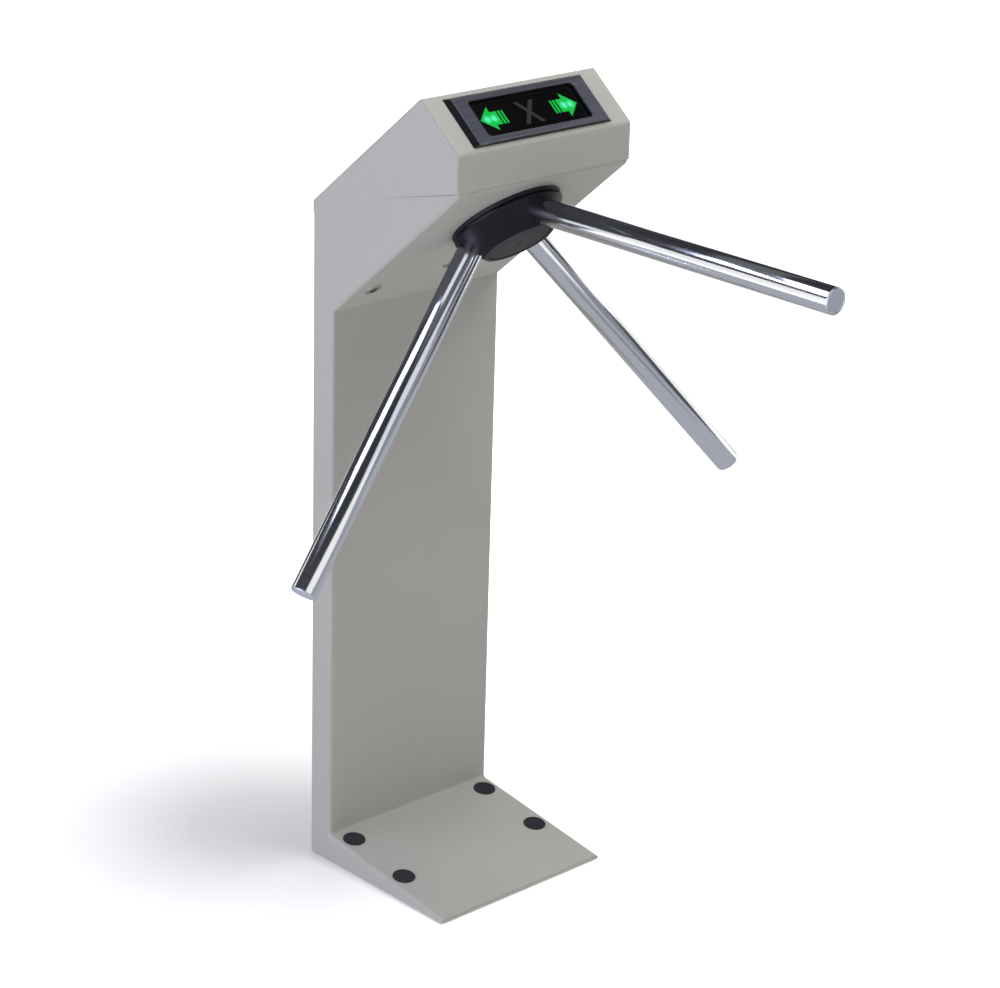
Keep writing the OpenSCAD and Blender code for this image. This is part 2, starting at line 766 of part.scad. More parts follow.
// Spring route: a hook round the crank pin, close turns, a hook round the post
wire_r = 0.8;
coil_mean_r = 5;
coil_turns = 18;
hook_steps = 10;
turn_steps = 12;
pin_loop_r = crank_pin_r + wire_r + rest;
post_loop_r = spring_post_r - hook_groove + wire_r + rest;
hook_len = 16;
hook_turn = 290;
coil_x0 = crank_throw + hook_len;
coil_x1 = spring_post_x - hook_len;
function hook_point(x, r, a) = [x + r * cos(a), r * sin(a), 0];
function coil_point(u) =
    let (a = 360 * coil_turns * u, grow = min(1, coil_turns * u, coil_turns * (1 - u)))
    [coil_x0 + (coil_x1 - coil_x0) * u, coil_mean_r * grow * cos(a), coil_mean_r * grow * sin(a)];
spring_path = concat(
    [for (i = [0:hook_steps]) hook_point(crank_throw, pin_loop_r, hook_turn * (i / hook_steps - 1))],
    [for (i = [0:coil_turns * turn_steps]) coil_point(i / (coil_turns * turn_steps))],
    [for (i = [0:hook_steps]) hook_point(spring_post_x, post_loop_r, 180 - hook_turn * i / hook_steps)]);

// Tube round a path: rings of n points, each in a plane across the path
function path_dir(p, i) = unit(p[min(i + 1, len(p) - 1)] - p[max(i - 1, 0)]);
function across_dir(t) = let (c = cross(t, [0.31, 0.11, 0.94])) unit(c);
function tube_ring(p, i, r, n) =
    let (t = path_dir(p, i), u = across_dir(t), v = cross(t, u))
    [for (k = [0:n - 1]) p[i] + r * (u * cos(360 * k / n) + v * sin(360 * k / n))];
module tube(p, r, n) {
    m = len(p);
    points = [for (i = [0:m - 1]) each tube_ring(p, i, r, n)];
    walls = [for (i = [0:m - 2], k = [0:n - 1])
        each [[i * n + k, (i + 1) * n + k, i * n + (k + 1) % n],
            [(i + 1) * n + k, (i + 1) * n + (k + 1) % n, i * n + (k + 1) % n]]];
    ends = [[for (k = [0:n - 1]) k], [for (k = [n - 1:-1:0]) (m - 1) * n + k]];
    polyhedron(points, concat(walls, ends));
}

module centring_spring() {
    color("silver") at_hub() translate([0, gear_centre_d, spring_z]) tube(spring_path, wire_r, 6);
}

bracket_y = -68;
sensor_board_z = encoder_z + 9.5;
module sensor_bracket() {
    color("gainsboro") at_hub() {
        block([-12, bracket_y, plate_z1], [12, bracket_y + 2, sensor_board_z]);
        block([-12, bracket_y, sensor_board_z - 1.5], [12, bracket_y + 9, sensor_board_z]);
    }
}

fork_x = 12;
fork_out_y = -48;
fork_in_y = -33;
module position_sensor() {
    color([0.1, 0.35, 0.2]) at_hub() {
        block([-22, bracket_y + 3, sensor_board_z], [22, fork_in_y + 2, sensor_board_z + 1.6]);
        for (x = [-fork_x, fork_x]) difference() {
            block([x - 4, fork_out_y, encoder_z - 7], [x + 4, fork_in_y, sensor_board_z + eps]);
            block([x - 5, fork_out_y + 5, encoder_z - 2], [x + 5, fork_in_y + 1, encoder_z + encoder_t + 2]);
        }
    }
}

board_rise = 21.5;
board_z = knee_h + board_rise;
board_w = 160;
board_h = 100;
board_gap = 8;
board_t = 1.6;
board_y = back_y - panel_t - board_gap;
module each_board_post() {
    for (x = [-1, 1], z = [5, board_h - 5])
        translate([x * (board_w / 2 - 5), board_y, board_z + z]) rotate([-90, 0, 0]) children();
}

// A component on the board: left edge, lower edge, width, height, depth
board_parts = [[-75, 12, 62, 12, 14], [13, 12, 62, 12, 14], [-70, 38, 18, 26, 16], [-46, 38, 18, 26, 16],
    [-20, 40, 26, 26, 4], [16, 40, 12, 30, 8], [-30, 76, 60, 10, 10]];
module control_board() {
    color([0.1, 0.35, 0.2]) difference() {
        union() {
            block([-board_w / 2, board_y - board_t, board_z], [board_w / 2, board_y, board_z + board_h]);
            for (p = board_parts)
                block([p[0], board_y - board_t - p[4], board_z + p[1]],
                    [p[0] + p[2], board_y - board_t + eps, board_z + p[1] + p[3]]);
            for (x = [44, 62])
                translate([x, board_y - board_t + eps, board_z + 54]) rotate([90, 0, 0]) disc(7, 0, 17);
        }
        each_board_post() disc(1.7, -4, 1);
    }
}

module board_standoffs() {
    color("lightgray") each_board_post() {
        ring(3.5, 1.5, 0, board_gap);
        disc(1.5, -board_t - 1.5, 2);
        disc(3, -board_t - 1.8, -board_t - 0.1);
    }
}

// Locks

plug_r = 5.5;
lock_face = 1.6;
barrel_top = 22;
barrel_rim = 2;
lock_nut_over = 4;
lock_nut_h = 4;
module lock_barrel() {
    difference() {
        union() {
            disc(lock_r, -lock_face, barrel_top);
            rotate_extrude() polygon([[0, 0], [lock_r + barrel_rim, 0], [lock_r + barrel_rim, 1 - lock_face],
                [lock_r + barrel_rim - 1, -lock_face], [0, -lock_face]]);
        }
        disc(plug_r + run, -lock_face - 1, barrel_top + 1);
    }
    difference() {
        translate([0, 0, panel_t]) cylinder(r = lock_r + lock_nut_over, h = lock_nut_h, $fn = 6);
        disc(lock_r + fit, 0, panel_t + lock_nut_h + 1);
    }
}

module lock_barrels() {
    color("silver") at_hub() {
        translate([-lid_lock_x, lid_lock_y, 0]) lock_barrel();
        translate([0, release_lock_y, 0]) lock_barrel();
    }
}

plug_proud = 0.3;
plug_end = 2;
key_w = 1.4;
key_h = 7.2;
key_depth = 8;
cam_w = 8;
cam_t = 2.5;
cam_eye = 2;
cam_z = barrel_top + 0.5;
module lock_plug() {
    difference() {
        disc(plug_r, -lock_face - plug_proud, cam_z + cam_t + plug_end);
        block([-key_w / 2, -key_h / 2, -lock_face - 2], [key_w / 2, key_h / 2, key_depth]);
    }
    translate([0, 0, cam_z]) linear_extrude(cam_t) {
        circle(plug_r + cam_eye);
        translate([0, -cam_w / 2]) square([cam_len - cam_w / 2, cam_w]);
        translate([cam_len - cam_w / 2, 0]) circle(cam_w / 2);
    }
}

module lid_lock_plug() {
    color("silver") at_hub() translate([-lid_lock_x, lid_lock_y, 0]) lock_plug();
}

module release_lock_plug() {
    color("silver") at_hub() translate([0, release_lock_y, 0]) lock_plug();
}

module key_switch() {
    y0 = release_lock_y + cam_len + 0.6;
    color([0.15, 0.15, 0.17]) at_hub() {
        translate([0, y0, cam_z + cam_t / 2]) rotate([-90, 0, 0]) disc(1.5, 0, 2);
        block([-10, y0 + 1.5, cam_z - 5], [10, y0 + 8, cam_z + 6]);
        block([-8, y0 + 8 - eps, panel_t], [8, y0 + 10, cam_z + 4]);
        block([-8, y0 + 8, panel_t], [8, y0 + 20, panel_t + 2]);
    }
}

// Rotor

hub_top = ring_t + hub_gap;
hub_band = hub_top + 3;
hub_nose_r = hub_r - (hub_out - hub_band) / tan(arm_cone);
hub_cavity_r = housing_r + 5;
hub_chamfer = 1;
hub_bore_r = 30;
cap_gap = 0.4;
web_top = 17;
web_bottom = 29;
cap_seat = 3;
shaft_step_r = 11.5;
shaft_foot = 0.5;
shaft_bore_end = 6;
inner_shoulder_r = inner_ring_r - 0.5;
shaft_nut_r = 17;
shaft_nut_h = 7;
shaft_end = 3.5;
shaft_top = encoder_z + encoder_t + shaft_nut_h + shaft_end;
arm_r = arm_d / 2;
arm_pitch = 120;
bolt_r = 5;
bolt_bore_r = 11;
arm_bolt_head_r = 8;
arm_bolt_hex_r = 4.6;
arm_bolt_end = 24;
arm_head_s = 52;
arm_wall_s = 60;
arm_seat = 0.1;

module rotor_shaft() {
    color("lightgray") at_hub() difference() {
        union() {
            disc(shaft_r - fit, -web_bottom + shaft_foot, up_bearing_top);
            disc(inner_shoulder_r, low_bearing_top, up_bearing_z);
            disc(shaft_step_r, up_bearing_top - 1, shaft_top);
        }
        disc(bolt_r + fit, -web_bottom, -shaft_bore_end);
    }
}

module bearing_inner_rings() {
    color("silver") at_hub() for (z = [low_bearing_z, up_bearing_z])
        ring(inner_ring_r, shaft_r, z, z + bearing_w);
}

module hub_body() {
    color([0.12, 0.12, 0.15]) difference() {
        at_hub() rotate_extrude($fn = 96) polygon([
            [shaft_r, low_bearing_z], [inner_shoulder_r, low_bearing_z], [inner_shoulder_r, -web_top],
            [hub_cavity_r, -web_top], [hub_cavity_r, -hub_top], [hub_r - hub_chamfer, -hub_top],
            [hub_r, -hub_top - hub_chamfer], [hub_r, -hub_band], [hub_nose_r, -hub_out],
            [cap_r + cap_gap, -hub_out], [cap_r + cap_gap, -hub_out + cap_seat],
            [hub_bore_r, -hub_out + cap_seat], [hub_bore_r, -web_bottom], [shaft_r, -web_bottom]]);
        for (turn = [-arm_pitch, 0, arm_pitch]) at_arm(turn) {
            disc(bolt_bore_r, 20, arm_wall_s);
            disc(bolt_r + loose, arm_wall_s - 1, arm_root + 1);
            disc(arm_r + arm_seat, arm_root - arm_seat, arm_root + 40);
        }
    }
}

hub_bolt_head_r = 9;
hub_bolt_head_h = 6;
hub_bolt_hex_r = 3.4;
hub_bolt_end = 9;
washer_r = 20;
washer_t = 2.5;
module hub_bolt() {
    color("lightgray") at_hub() {
        difference() {
            union() {
                disc(hub_bolt_head_r, -web_bottom - hub_bolt_head_h, -web_bottom - washer_t);
                disc(bolt_r, -web_bottom - washer_t - 0.5, -hub_bolt_end);
            }
            translate([0, 0, -web_bottom - hub_bolt_head_h - 1])
                cylinder(r = hub_bolt_hex_r, h = 3, $fn = 6);
        }
        ring(washer_r, bolt_r + loose, -web_bottom - washer_t, -web_bottom);
    }
}

cap_in = 0.5;
cap_chamfer = 0.5;
cap_crown = 0.2;
module hub_cap() {
    color([0.28, 0.27, 0.27]) at_hub() rotate_extrude($fn = 96) polygon([
        [0, -hub_out + cap_seat], [cap_r, -hub_out + cap_seat],
        [cap_r, -hub_out + cap_in + cap_crown + cap_chamfer],
        [cap_r - cap_chamfer, -hub_out + cap_in + cap_crown], [0, -hub_out + cap_in]]);
}

cap_disc_t = 2;
root_plug_h = 30;
module arm() {
    difference() {
        disc(arm_r, arm_root, arm_reach - cap_disc_t);
        disc(arm_r - arm_wall, arm_root + root_plug_h, arm_reach + 1);
        disc(bolt_r + fit, arm_root - 1, arm_root + root_plug_h + 1);
    }
}

module arm_front() {
    color("gainsboro") at_arm(0) arm();
}

module arm_left() {
    color("gainsboro") at_arm(-arm_pitch) arm();
}

module arm_right() {
    color("gainsboro") at_arm(arm_pitch) arm();
}

module arm_end_caps() {
    color("silver") for (turn = [-arm_pitch, 0, arm_pitch]) at_arm(turn) rotate_extrude() polygon([
        [0, arm_reach - 0.5], [arm_r - 3.4, arm_reach - 0.5], [arm_r - 2.8, arm_reach],
        [arm_r - 1.2, arm_reach], [arm_r - 0.35, arm_reach - 0.35], [arm_r, arm_reach - 1.2],
        [arm_r, arm_reach - cap_disc_t], [arm_r - arm_wall - fit, arm_reach - cap_disc_t],
        [arm_r - arm_wall - fit, arm_reach - 12], [0, arm_reach - 12]]);
}

module arm_bolts() {
    color("lightgray") for (turn = [-arm_pitch, 0, arm_pitch]) at_arm(turn) difference() {
        union() {
            disc(arm_bolt_head_r, arm_head_s, arm_wall_s);
            disc(bolt_r, arm_wall_s - 1, arm_root + arm_bolt_end);
        }
        translate([0, 0, arm_head_s - 1]) cylinder(r = arm_bolt_hex_r, h = 6, $fn = 6);
    }
}

boss_r = 15;
// The three hardened teeth are let into open slots of the disc's rim
tooth_root_r = 26;
module each_tooth(grow, top) {
    for (a = [-90, 30, 150]) rotate([0, 0, a])
        block([tooth_root_r - grow, -tooth_w / 2 - grow, disc_z - top],
            [tooth_tip_r, tooth_w / 2 + grow, disc_z + disc_t + top]);
}

module control_disc() {
    color("silver") at_hub() {
        difference() {
            union() {
                disc(disc_r, disc_z, disc_z + disc_t);
                disc(boss_r, up_bearing_top, gear_z);
            }
            disc(shaft_step_r + fit, up_bearing_top - 1, gear_z + 1);
            each_tooth(fit, 1);
        }
        each_tooth(0, 0);
    }
}

// Involute gear. The tooth's half angle at radius rho is its half angle
// at the pitch circle, plus the pitch involute, less the involute there.
pressure = 20;
backlash = 0.2;
function inv(a) = tan(a) * 180 / PI - a;
function half_tooth(z, rho) =
    let (rp = gear_m * z / 2, rb = rp * cos(pressure))
    90 / z - backlash / rp * 90 / PI + inv(pressure) - inv(acos(min(1, rb / max(rho, rb))));
function flank_radii(z) =
    let (rp = gear_m * z / 2, rb = rp * cos(pressure), root = rp - 1.25 * gear_m, tip = rp + 0.9 * gear_m)
    let (start = max(rb, root))
    concat(root < rb ? [root] : [], [for (i = [0:4]) start + (tip - start) * i / 4]);
function gear_outline(z) = [for (k = [0:z - 1])
    each concat(
        [for (rho = flank_radii(z)) let (a = 360 * k / z - half_tooth(z, rho)) rho * [cos(a), sin(a)]],
        [for (rho = reversed(flank_radii(z)))
            let (a = 360 * k / z + half_tooth(z, rho)) rho * [cos(a), sin(a)]])];

gear_window_ring_r = 36;
gear_window_r = 9;
module main_gear() {
    color([0.8, 0.7, 0.45]) at_hub() difference() {
        union() {
            translate([0, 0, gear_z]) rotate([0, 0, 90]) linear_extrude(gear_w)
                polygon(gear_outline(gear_teeth));
            disc(boss_r, gear_z, encoder_z);
        }
        disc(shaft_step_r + fit, gear_z - 1, encoder_z + 1);
        for (a = [0:60:300]) rotate([0, 0, a]) translate([gear_window_ring_r, 0, 0])
            disc(gear_window_r, gear_z - 1, gear_top + 1);
    }
}

module encoder_disc() {
    color([0.15, 0.15, 0.17]) at_hub() difference() {
        disc(encoder_r, encoder_z, encoder_z + encoder_t);
        disc(shaft_step_r + fit, encoder_z - 1, encoder_z + encoder_t + 1);
        for (a = [0:encoder_pitch:360 - encoder_pitch]) rotate([0, 0, a])
            block([encoder_r - encoder_slot_d, -encoder_slot_w / 2, encoder_z - 1],
                [encoder_r + 1, encoder_slot_w / 2, encoder_z + encoder_t + 1]);
    }
}

module shaft_nut() {
    color("lightgray") at_hub() difference() {
        translate([0, 0, encoder_z + encoder_t]) cylinder(r = shaft_nut_r, h = shaft_nut_h, $fn = 6);
        disc(shaft_step_r + fit, encoder_z, encoder_z + encoder_t + shaft_nut_h + 1);
    }
}

// Crank and pinion on the damper's shaft

module pinion() {
    color([0.8, 0.7, 0.45]) at_hub() translate([0, gear_centre_d, 0]) {
        translate([0, 0, gear_z]) rotate([0, 0, 90 + 180 / pinion_teeth]) linear_extrude(gear_w)
            polygon(gear_outline(pinion_teeth));
        disc(pinion_shaft_r, plate_z1 + 4, crank_z + crank_t);
        disc(9, damper_top + rest, gear_z + 1);
    }
}

module crank_disc() {
    color("silver") at_hub() translate([0, gear_centre_d, 0]) {
        ring(crank_throw + crank_pin_r + 1.5, pinion_shaft_r + fit, crank_z, crank_z + crank_t);
        translate([crank_throw, 0, 0]) {
            disc(crank_pin_r, crank_z + 1, spring_z + 4);
            disc(crank_pin_r + 1.5, spring_z + 2, spring_z + 4);
        }
    }
}

// Pawls and plungers; the right-hand ones are drawn and the left are their mirror images

pawl_boss_r = 8.5;
tail_pin_r = 2.5;
tail_t = 4;

module pawl() {
    nose_in = by_tooth(nose_in_r, nose_across) - pawl_pivot;
    nose_out = by_tooth(nose_out_r, nose_across) - pawl_pivot;
    side = left_of(unit(nose_in + nose_out)) * (pawl_boss_r - 1.5);
    translate([pawl_pivot[0], pawl_pivot[1], 0]) difference() {
        union() {
            translate([0, 0, disc_z + 1]) rotate([0, 0, -pawl_swing]) linear_extrude(disc_t - 2)
                polygon([nose_in, nose_out, -side, side]);
            disc(pawl_boss_r, disc_z, disc_z + disc_t);
            block([6, -4, disc_z + 0.5], [pawl_tail + 6, 4, disc_z + tail_t]);
            translate([pawl_tail, 0, 0]) disc(tail_pin_r, disc_z + 1, disc_z + disc_t + 1);
        }
        disc(pivot_r + run, disc_z - 1, disc_z + disc_t + 2);
    }
}

module right_pawl() {
    color("lightsteelblue") at_hub() pawl();
}

module left_pawl() {
    color("lightsteelblue") at_hub() mirror([1, 0, 0]) pawl();
}

rod_end_y = -9.5;
plunger_top = disc_z + disc_t - 0.5;
module plunger() {
    slot = tail_pin_r + rest;
    translate([solenoid_x, pawl_pivot[1], 0]) difference() {
        union() {
            translate([0, 0, plunger_z]) rotate([-90, 0, 0]) disc(plunger_r, rod_end_y - 40, rod_end_y);
            block([-6, rod_end_y - 1, disc_z + tail_t + rest], [6, 7, plunger_top]);
        }
        block([-slot - 1, -slot, disc_z], [slot + 1, slot, plunger_top + 2]);
    }
}

module right_plunger() {
    color("silver") at_hub() plunger();
}

module left_plunger() {
    color("silver") at_hub() mirror([1, 0, 0]) plunger();
}

// Lid

flange_x = half_w - side_t - 0.5;
flange_line = [at(head_d, seam_h), at(head_d, brow_h), at(ridge_d, body_h), at(-lid_out, rear_top_h)];
flange_in = beside(flange_line, -lid_t - lid_flange);
flange_out = beside(lid_line, -lid_t / 2);
flange_rear_d = panel_t + 4;
flange_last = 2 * (bend_steps + 1);
flange_outline = concat(
    [for (i = [1:flange_last]) flange_out[i]],
    [at(flange_rear_d, lid_inner_h(flange_rear_d) + lid_t / 2),
        at(flange_rear_d, lid_inner_h(flange_rear_d) - lid_flange)],
    [flange_in[2], flange_in[1]]);
cutout_w = window_w + 10;
cutout_h = window_h + 10;
bezel_mid = bezel_low + bezel_h / 2;
hook_in = 8;

module lid_shell() {
    color([0.75, 0.75, 0.76]) difference() {
        union() {
            across(-half_w, body_w) polygon(sheet(lid_line, lid_t));
            for (s = [-1, 1]) across(s * (flange_x - lid_t / 2) - lid_t / 2, lid_t) polygon(flange_outline);
            for (x = [-hook_x, hook_x]) {
                block([x - hook_w / 2 + 1, back_y - head_d + lid_t / 2, seam_h + 3.5],
                    [x + hook_w / 2 - 1, back_y - head_d + lid_out + hook_in, seam_h + 5]);
                block([x - hook_w / 2 + 1, back_y - head_d + lid_out + hook_in - 1.5, seam_h - 2],
                    [x + hook_w / 2 - 1, back_y - head_d + lid_out + hook_in, seam_h + 5]);
            }
        }
        at_face() translate([-cutout_w / 2, bezel_mid - cutout_h / 2, -2 * lid_t])
            cube([cutout_w, cutout_h, 4 * lid_t]);
    }
}

// The catch hangs from the back slope, with a notch that the lid lock's cam enters
catch_t = 2;
catch_w = 26;
notch_h = 14;
catch_y = lid_lock_y - cam_len + 5;
cam_mid_z = cam_z + cam_t / 2;
catch_depth = hub_depth - catch_y * cos(under_slope) - cam_mid_z * sin(under_slope);
notch_mid_h = hub_h - catch_y * sin(under_slope) + cam_mid_z * cos(under_slope);
module lid_catch() {
    d0 = catch_depth - catch_t / 2;
    d1 = catch_depth + catch_t / 2;
    x0 = -lid_lock_x - 14;
    z0 = notch_mid_h - notch_h / 2 - 6;
    color("gainsboro") difference() {
        across(x0, catch_w) polygon([at(d0, z0), at(d0, lid_inner_h(d0)), at(d1 + 12, lid_inner_h(d1 + 12)),
            at(d1 + 12, lid_inner_h(d1 + 12) - catch_t),
            at(d1, lid_inner_h(d1) - 1.6 * catch_t), at(d1, z0)]);
        block([-lid_lock_x - cam_w / 2 - 2, back_y - d1 - 1, notch_mid_h - notch_h / 2],
            [x0 + catch_w + 1, back_y - d0 + 1, notch_mid_h + notch_h / 2]);
    }
}

// Display, drawn on the display face

module on_display() {
    at_face() translate([0, bezel_mid, 0]) children();
}

pane_top = 1;
pane_lap = 2.5;
frame_shift = (frame_h - bezel_h) / 2 + 1;
module window_hole(grow) {
    translate([0, frame_shift]) rounded_rect(window_w + 2 * grow, window_h + 2 * grow, window_r + grow);
}

module display_bezel() {
    color([0.07, 0.07, 0.08]) on_display() difference() {
        hull() {
            translate([0, 0, 0.3]) cube([bezel_w, bezel_h, 0.6], center = true);
            translate([0, frame_shift, frame_rise - frame_t - 0.05])
                cube([frame_w, frame_h, 0.1], center = true);
        }
        translate([0, 0, -1]) linear_extrude(frame_rise + 2) window_hole(0);
        translate([0, frame_shift, -1]) linear_extrude(pane_top + 1)
            square([window_w + 2 * pane_lap + 1, window_h + 2 * pane_lap + 1], center = true);
    }
}

module display_frame() {
    color([0.62, 0.63, 0.66])
    on_display() translate([0, 0, frame_rise - frame_t]) linear_extrude(frame_t) difference() {
        translate([0, frame_shift]) square([frame_w, frame_h], center = true);
        window_hole(0);
    }
}

// Signs: an arrow made of a head, a body and two bars; its tip points to +X
arrow_tip_x = 77;
arrow_head = 19.5;
arrow_half = 17.5;
arrow_body_half = 9.5;
arrow_body = 10;
bar_gap = 2;
bar_w = 3.2;
last_bar_w = 2.6;
module arrow_sign(grow) {
    x1 = arrow_tip_x - arrow_head;
    x2 = x1 - arrow_body;
    x3 = x2 - bar_gap - bar_w;
    x4 = x3 - bar_gap - last_bar_w;
    polygon([[arrow_tip_x + grow, 0], [x1 - grow, arrow_half + grow], [x1 - grow, arrow_body_half + grow],
        [x2 - grow, arrow_body_half + grow], [x2 - grow, -arrow_body_half - grow],
        [x1 - grow, -arrow_body_half - grow], [x1 - grow, -arrow_half - grow]]);
    translate([x3 - grow, -arrow_body_half - grow]) square([bar_w + 2 * grow, 2 * (arrow_body_half + grow)]);
    translate([x4 - grow, -arrow_body_half - grow])
        square([last_bar_w + 2 * grow, 2 * (arrow_body_half + grow)]);
}

cross_half_w = 12.5;
cross_half_h = 16.5;
cross_bar = 7;
module cross_sign(grow) {
    b = cross_bar / 2 + grow;
    for (s = [-1, 1]) polygon([
        [-s * cross_half_w - b, -cross_half_h - grow], [-s * cross_half_w + b, -cross_half_h - grow],
        [s * cross_half_w + b, cross_half_h + grow], [s * cross_half_w - b, cross_half_h + grow]]);
}

sign_gap = 0.1;
module display_window() {
    color([0.03, 0.03, 0.03]) on_display() translate([0, frame_shift, pane_top - pane_t]) difference() {
        linear_extrude(pane_t) square([window_w + 2 * pane_lap, window_h + 2 * pane_lap], center = true);
        translate([0, 0, -1]) linear_extrude(pane_t + 2) {
            arrow_sign(sign_gap);
            mirror([1, 0, 0]) arrow_sign(sign_gap);
            cross_sign(sign_gap);
        }
    }
}

module arrow_lights() {
    color([0.1, 0.9, 0.3])
    on_display() translate([0, frame_shift, pane_top - pane_t]) linear_extrude(pane_t - 0.1) {
        arrow_sign(0);
        mirror([1, 0, 0]) arrow_sign(0);
    }
}

module cross_light() {
    color([0.18, 0.17, 0.16]) on_display() translate([0, frame_shift, pane_top - pane_t])
        linear_extrude(pane_t - 0.1) cross_sign(0);
}

tray_wall = 2;
tray_lap = 4;
module display_tray() {
    w = cutout_w + 2 * tray_lap;
    h = cutout_h;
    color([0.12, 0.12, 0.13]) on_display() difference() {
        translate([-w / 2, -h / 2, -lid_t - tray_d]) cube([w, h, tray_d]);
        translate([-w / 2 + tray_wall, -h / 2 + tray_wall, -lid_t - tray_d + tray_wall])
            cube([w - 2 * tray_wall, h - 2 * tray_wall, tray_d]);
    }
    color([0.12, 0.12, 0.13]) on_display() for (x = [-1, 1], y = [-1, 1])
        translate([x * (w / 2 - 8), y * (h / 2 - 8), 0]) disc(3, -lid_t - tray_d + 1, -lid_t - tray_d + 5);
}

module display_board() {
    w = cutout_w + 2 * tray_lap - 2 * tray_wall - 1;
    h = cutout_h - 2 * tray_wall - 1;
    z0 = -lid_t - tray_d + 5;
    color([0.1, 0.35, 0.2]) on_display() {
        translate([-w / 2, -h / 2, z0]) cube([w, h, 1.6]);
        for (s = [-1, 1], x = [54, 64]) translate([s * x, frame_shift, 0]) disc(2.5, z0 + 1, z0 + 6);
    }
}

floor_plate();
base_cover();
left_side_plate();
right_side_plate();
front_panel();
rear_panel();
column_stiffeners();
anchor_wells();
anchor_plugs();
cable_grommet();
hub_ring();
standoffs();
stud_nuts();
mechanism_plate();
bearing_housing();
housing_screws();
bearing_outer_rings();
damper_body();
solenoid_frames();
solenoid_coils();
pawl_pivots();
spring_post();
centring_spring();
sensor_bracket();
position_sensor();
control_board();
board_standoffs();
lock_barrels();
key_switch();
rotor_shaft();
bearing_inner_rings();
hub_body();
hub_bolt();
hub_cap();
arm_front();
arm_left();
arm_right();
arm_end_caps();
arm_bolts();
control_disc();
main_gear();
encoder_disc();
shaft_nut();
pinion();
crank_disc();
left_pawl();
right_pawl();
left_plunger();
right_plunger();
lid_shell();
lid_catch();
display_bezel();
display_frame();
display_window();
arrow_lights();
cross_light();
display_tray();
display_board();
lid_lock_plug();
release_lock_plug();
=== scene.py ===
import math
import bpy
import bmesh
import numpy as np
from mathutils import Matrix, Vector


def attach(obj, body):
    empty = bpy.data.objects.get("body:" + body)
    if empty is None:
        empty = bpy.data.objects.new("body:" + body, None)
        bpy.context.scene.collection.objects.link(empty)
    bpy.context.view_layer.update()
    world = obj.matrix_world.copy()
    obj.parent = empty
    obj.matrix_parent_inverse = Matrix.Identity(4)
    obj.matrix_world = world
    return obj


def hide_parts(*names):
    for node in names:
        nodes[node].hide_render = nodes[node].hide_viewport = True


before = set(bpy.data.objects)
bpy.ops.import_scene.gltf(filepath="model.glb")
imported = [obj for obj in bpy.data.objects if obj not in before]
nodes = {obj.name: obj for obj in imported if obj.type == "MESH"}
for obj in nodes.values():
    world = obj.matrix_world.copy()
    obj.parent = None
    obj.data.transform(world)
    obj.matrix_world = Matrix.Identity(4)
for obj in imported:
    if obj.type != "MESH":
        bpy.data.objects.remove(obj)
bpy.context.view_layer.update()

scene = bpy.context.scene
scene.view_settings.view_transform = "Standard"


# ---- Camera
# A long lens looks at the turnstile from its front left corner, a little
# above the head, rolled by under two degrees as the photograph is.
camera_azimuth, camera_elevation, camera_roll = -43.045, 21.064, 1.643
camera_place = (-2.3232, -2.5748, 1.8422)


def backwards(azimuth, elevation):
    """Unit vector out of the object at these degrees; azimuth 0 is in front and 90 on the right."""
    a, e = math.radians(azimuth), math.radians(elevation)
    return Vector((math.sin(a) * math.cos(e), -math.cos(a) * math.cos(e), math.sin(e)))


def looking(azimuth, elevation, roll, place):
    """Camera matrix: back is the unit vector at that azimuth and elevation, right is
    level and square to it, and both right and up are turned about back by roll."""
    r = math.radians(roll)
    back = backwards(azimuth, elevation)
    right = Vector((0, 0, 1)).cross(back).normalized()
    up = back.cross(right)
    right, up = math.cos(r) * right + math.sin(r) * up, -math.sin(r) * right + math.cos(r) * up
    turn = Matrix((right, up, back)).transposed().to_4x4()
    return Matrix.Translation(place) @ turn


camera = bpy.data.objects.new("camera", bpy.data.cameras.new("camera"))
camera.matrix_world = looking(camera_azimuth, camera_elevation, camera_roll, camera_place)
camera.data.sensor_width = 36
camera.data.lens = 105.78
camera.data.clip_end = 50
scene.collection.objects.link(camera)
scene.camera = camera


# ---- Studio
# A white floor in a pale room, with seven soft lamps round the object. Dark and
# light sheets that only mirror rays meet paint the reflected lines along polished tubes.
def new_material(name):
    """An empty material with its node tree and its Principled shader."""
    m = bpy.data.materials.new(name)
    m.use_nodes = True
    t = m.node_tree
    return m, t, t.nodes["Principled BSDF"]


def put(tree, kind, at, **settings):
    """Adds a node; settings that name an input set its value, others an attribute."""
    n = tree.nodes.new(kind)
    n.location = at
    for key, value in settings.items():
        if key in n.inputs:
            n.inputs[key].default_value = value
        else:
            setattr(n, key, value)
    return n


def join(tree, *pairs):
    """Links each pair of sockets."""
    for a, b in pairs:
        tree.links.new(a, b)


def background_rays(tree):
    """One for camera, mirror and see-through rays, which show the background, and zero for the rest."""
    rays = put(tree, "ShaderNodeLightPath", (-1100, -200))
    first = put(tree, "ShaderNodeMath", (-900, -200), operation="MAXIMUM")
    both = put(tree, "ShaderNodeMath", (-700, -200), operation="MAXIMUM")
    join(tree, (rays.outputs["Is Camera Ray"], first.inputs[0]),
         (rays.outputs["Is Glossy Ray"], first.inputs[1]), (first.outputs[0], both.inputs[0]),
         (rays.outputs["Is Transmission Ray"], both.inputs[1]))
    return both.outputs[0]


def spread(tree, at, low, high, first=0.0, last=1.0):
    """Map Range node that carries first..last to low..high."""
    n = put(tree, "ShaderNodeMapRange", at)
    for key, value in (("From Min", first), ("From Max", last), ("To Min", low), ("To Max", high)):
        n.inputs[key].default_value = value
    return n


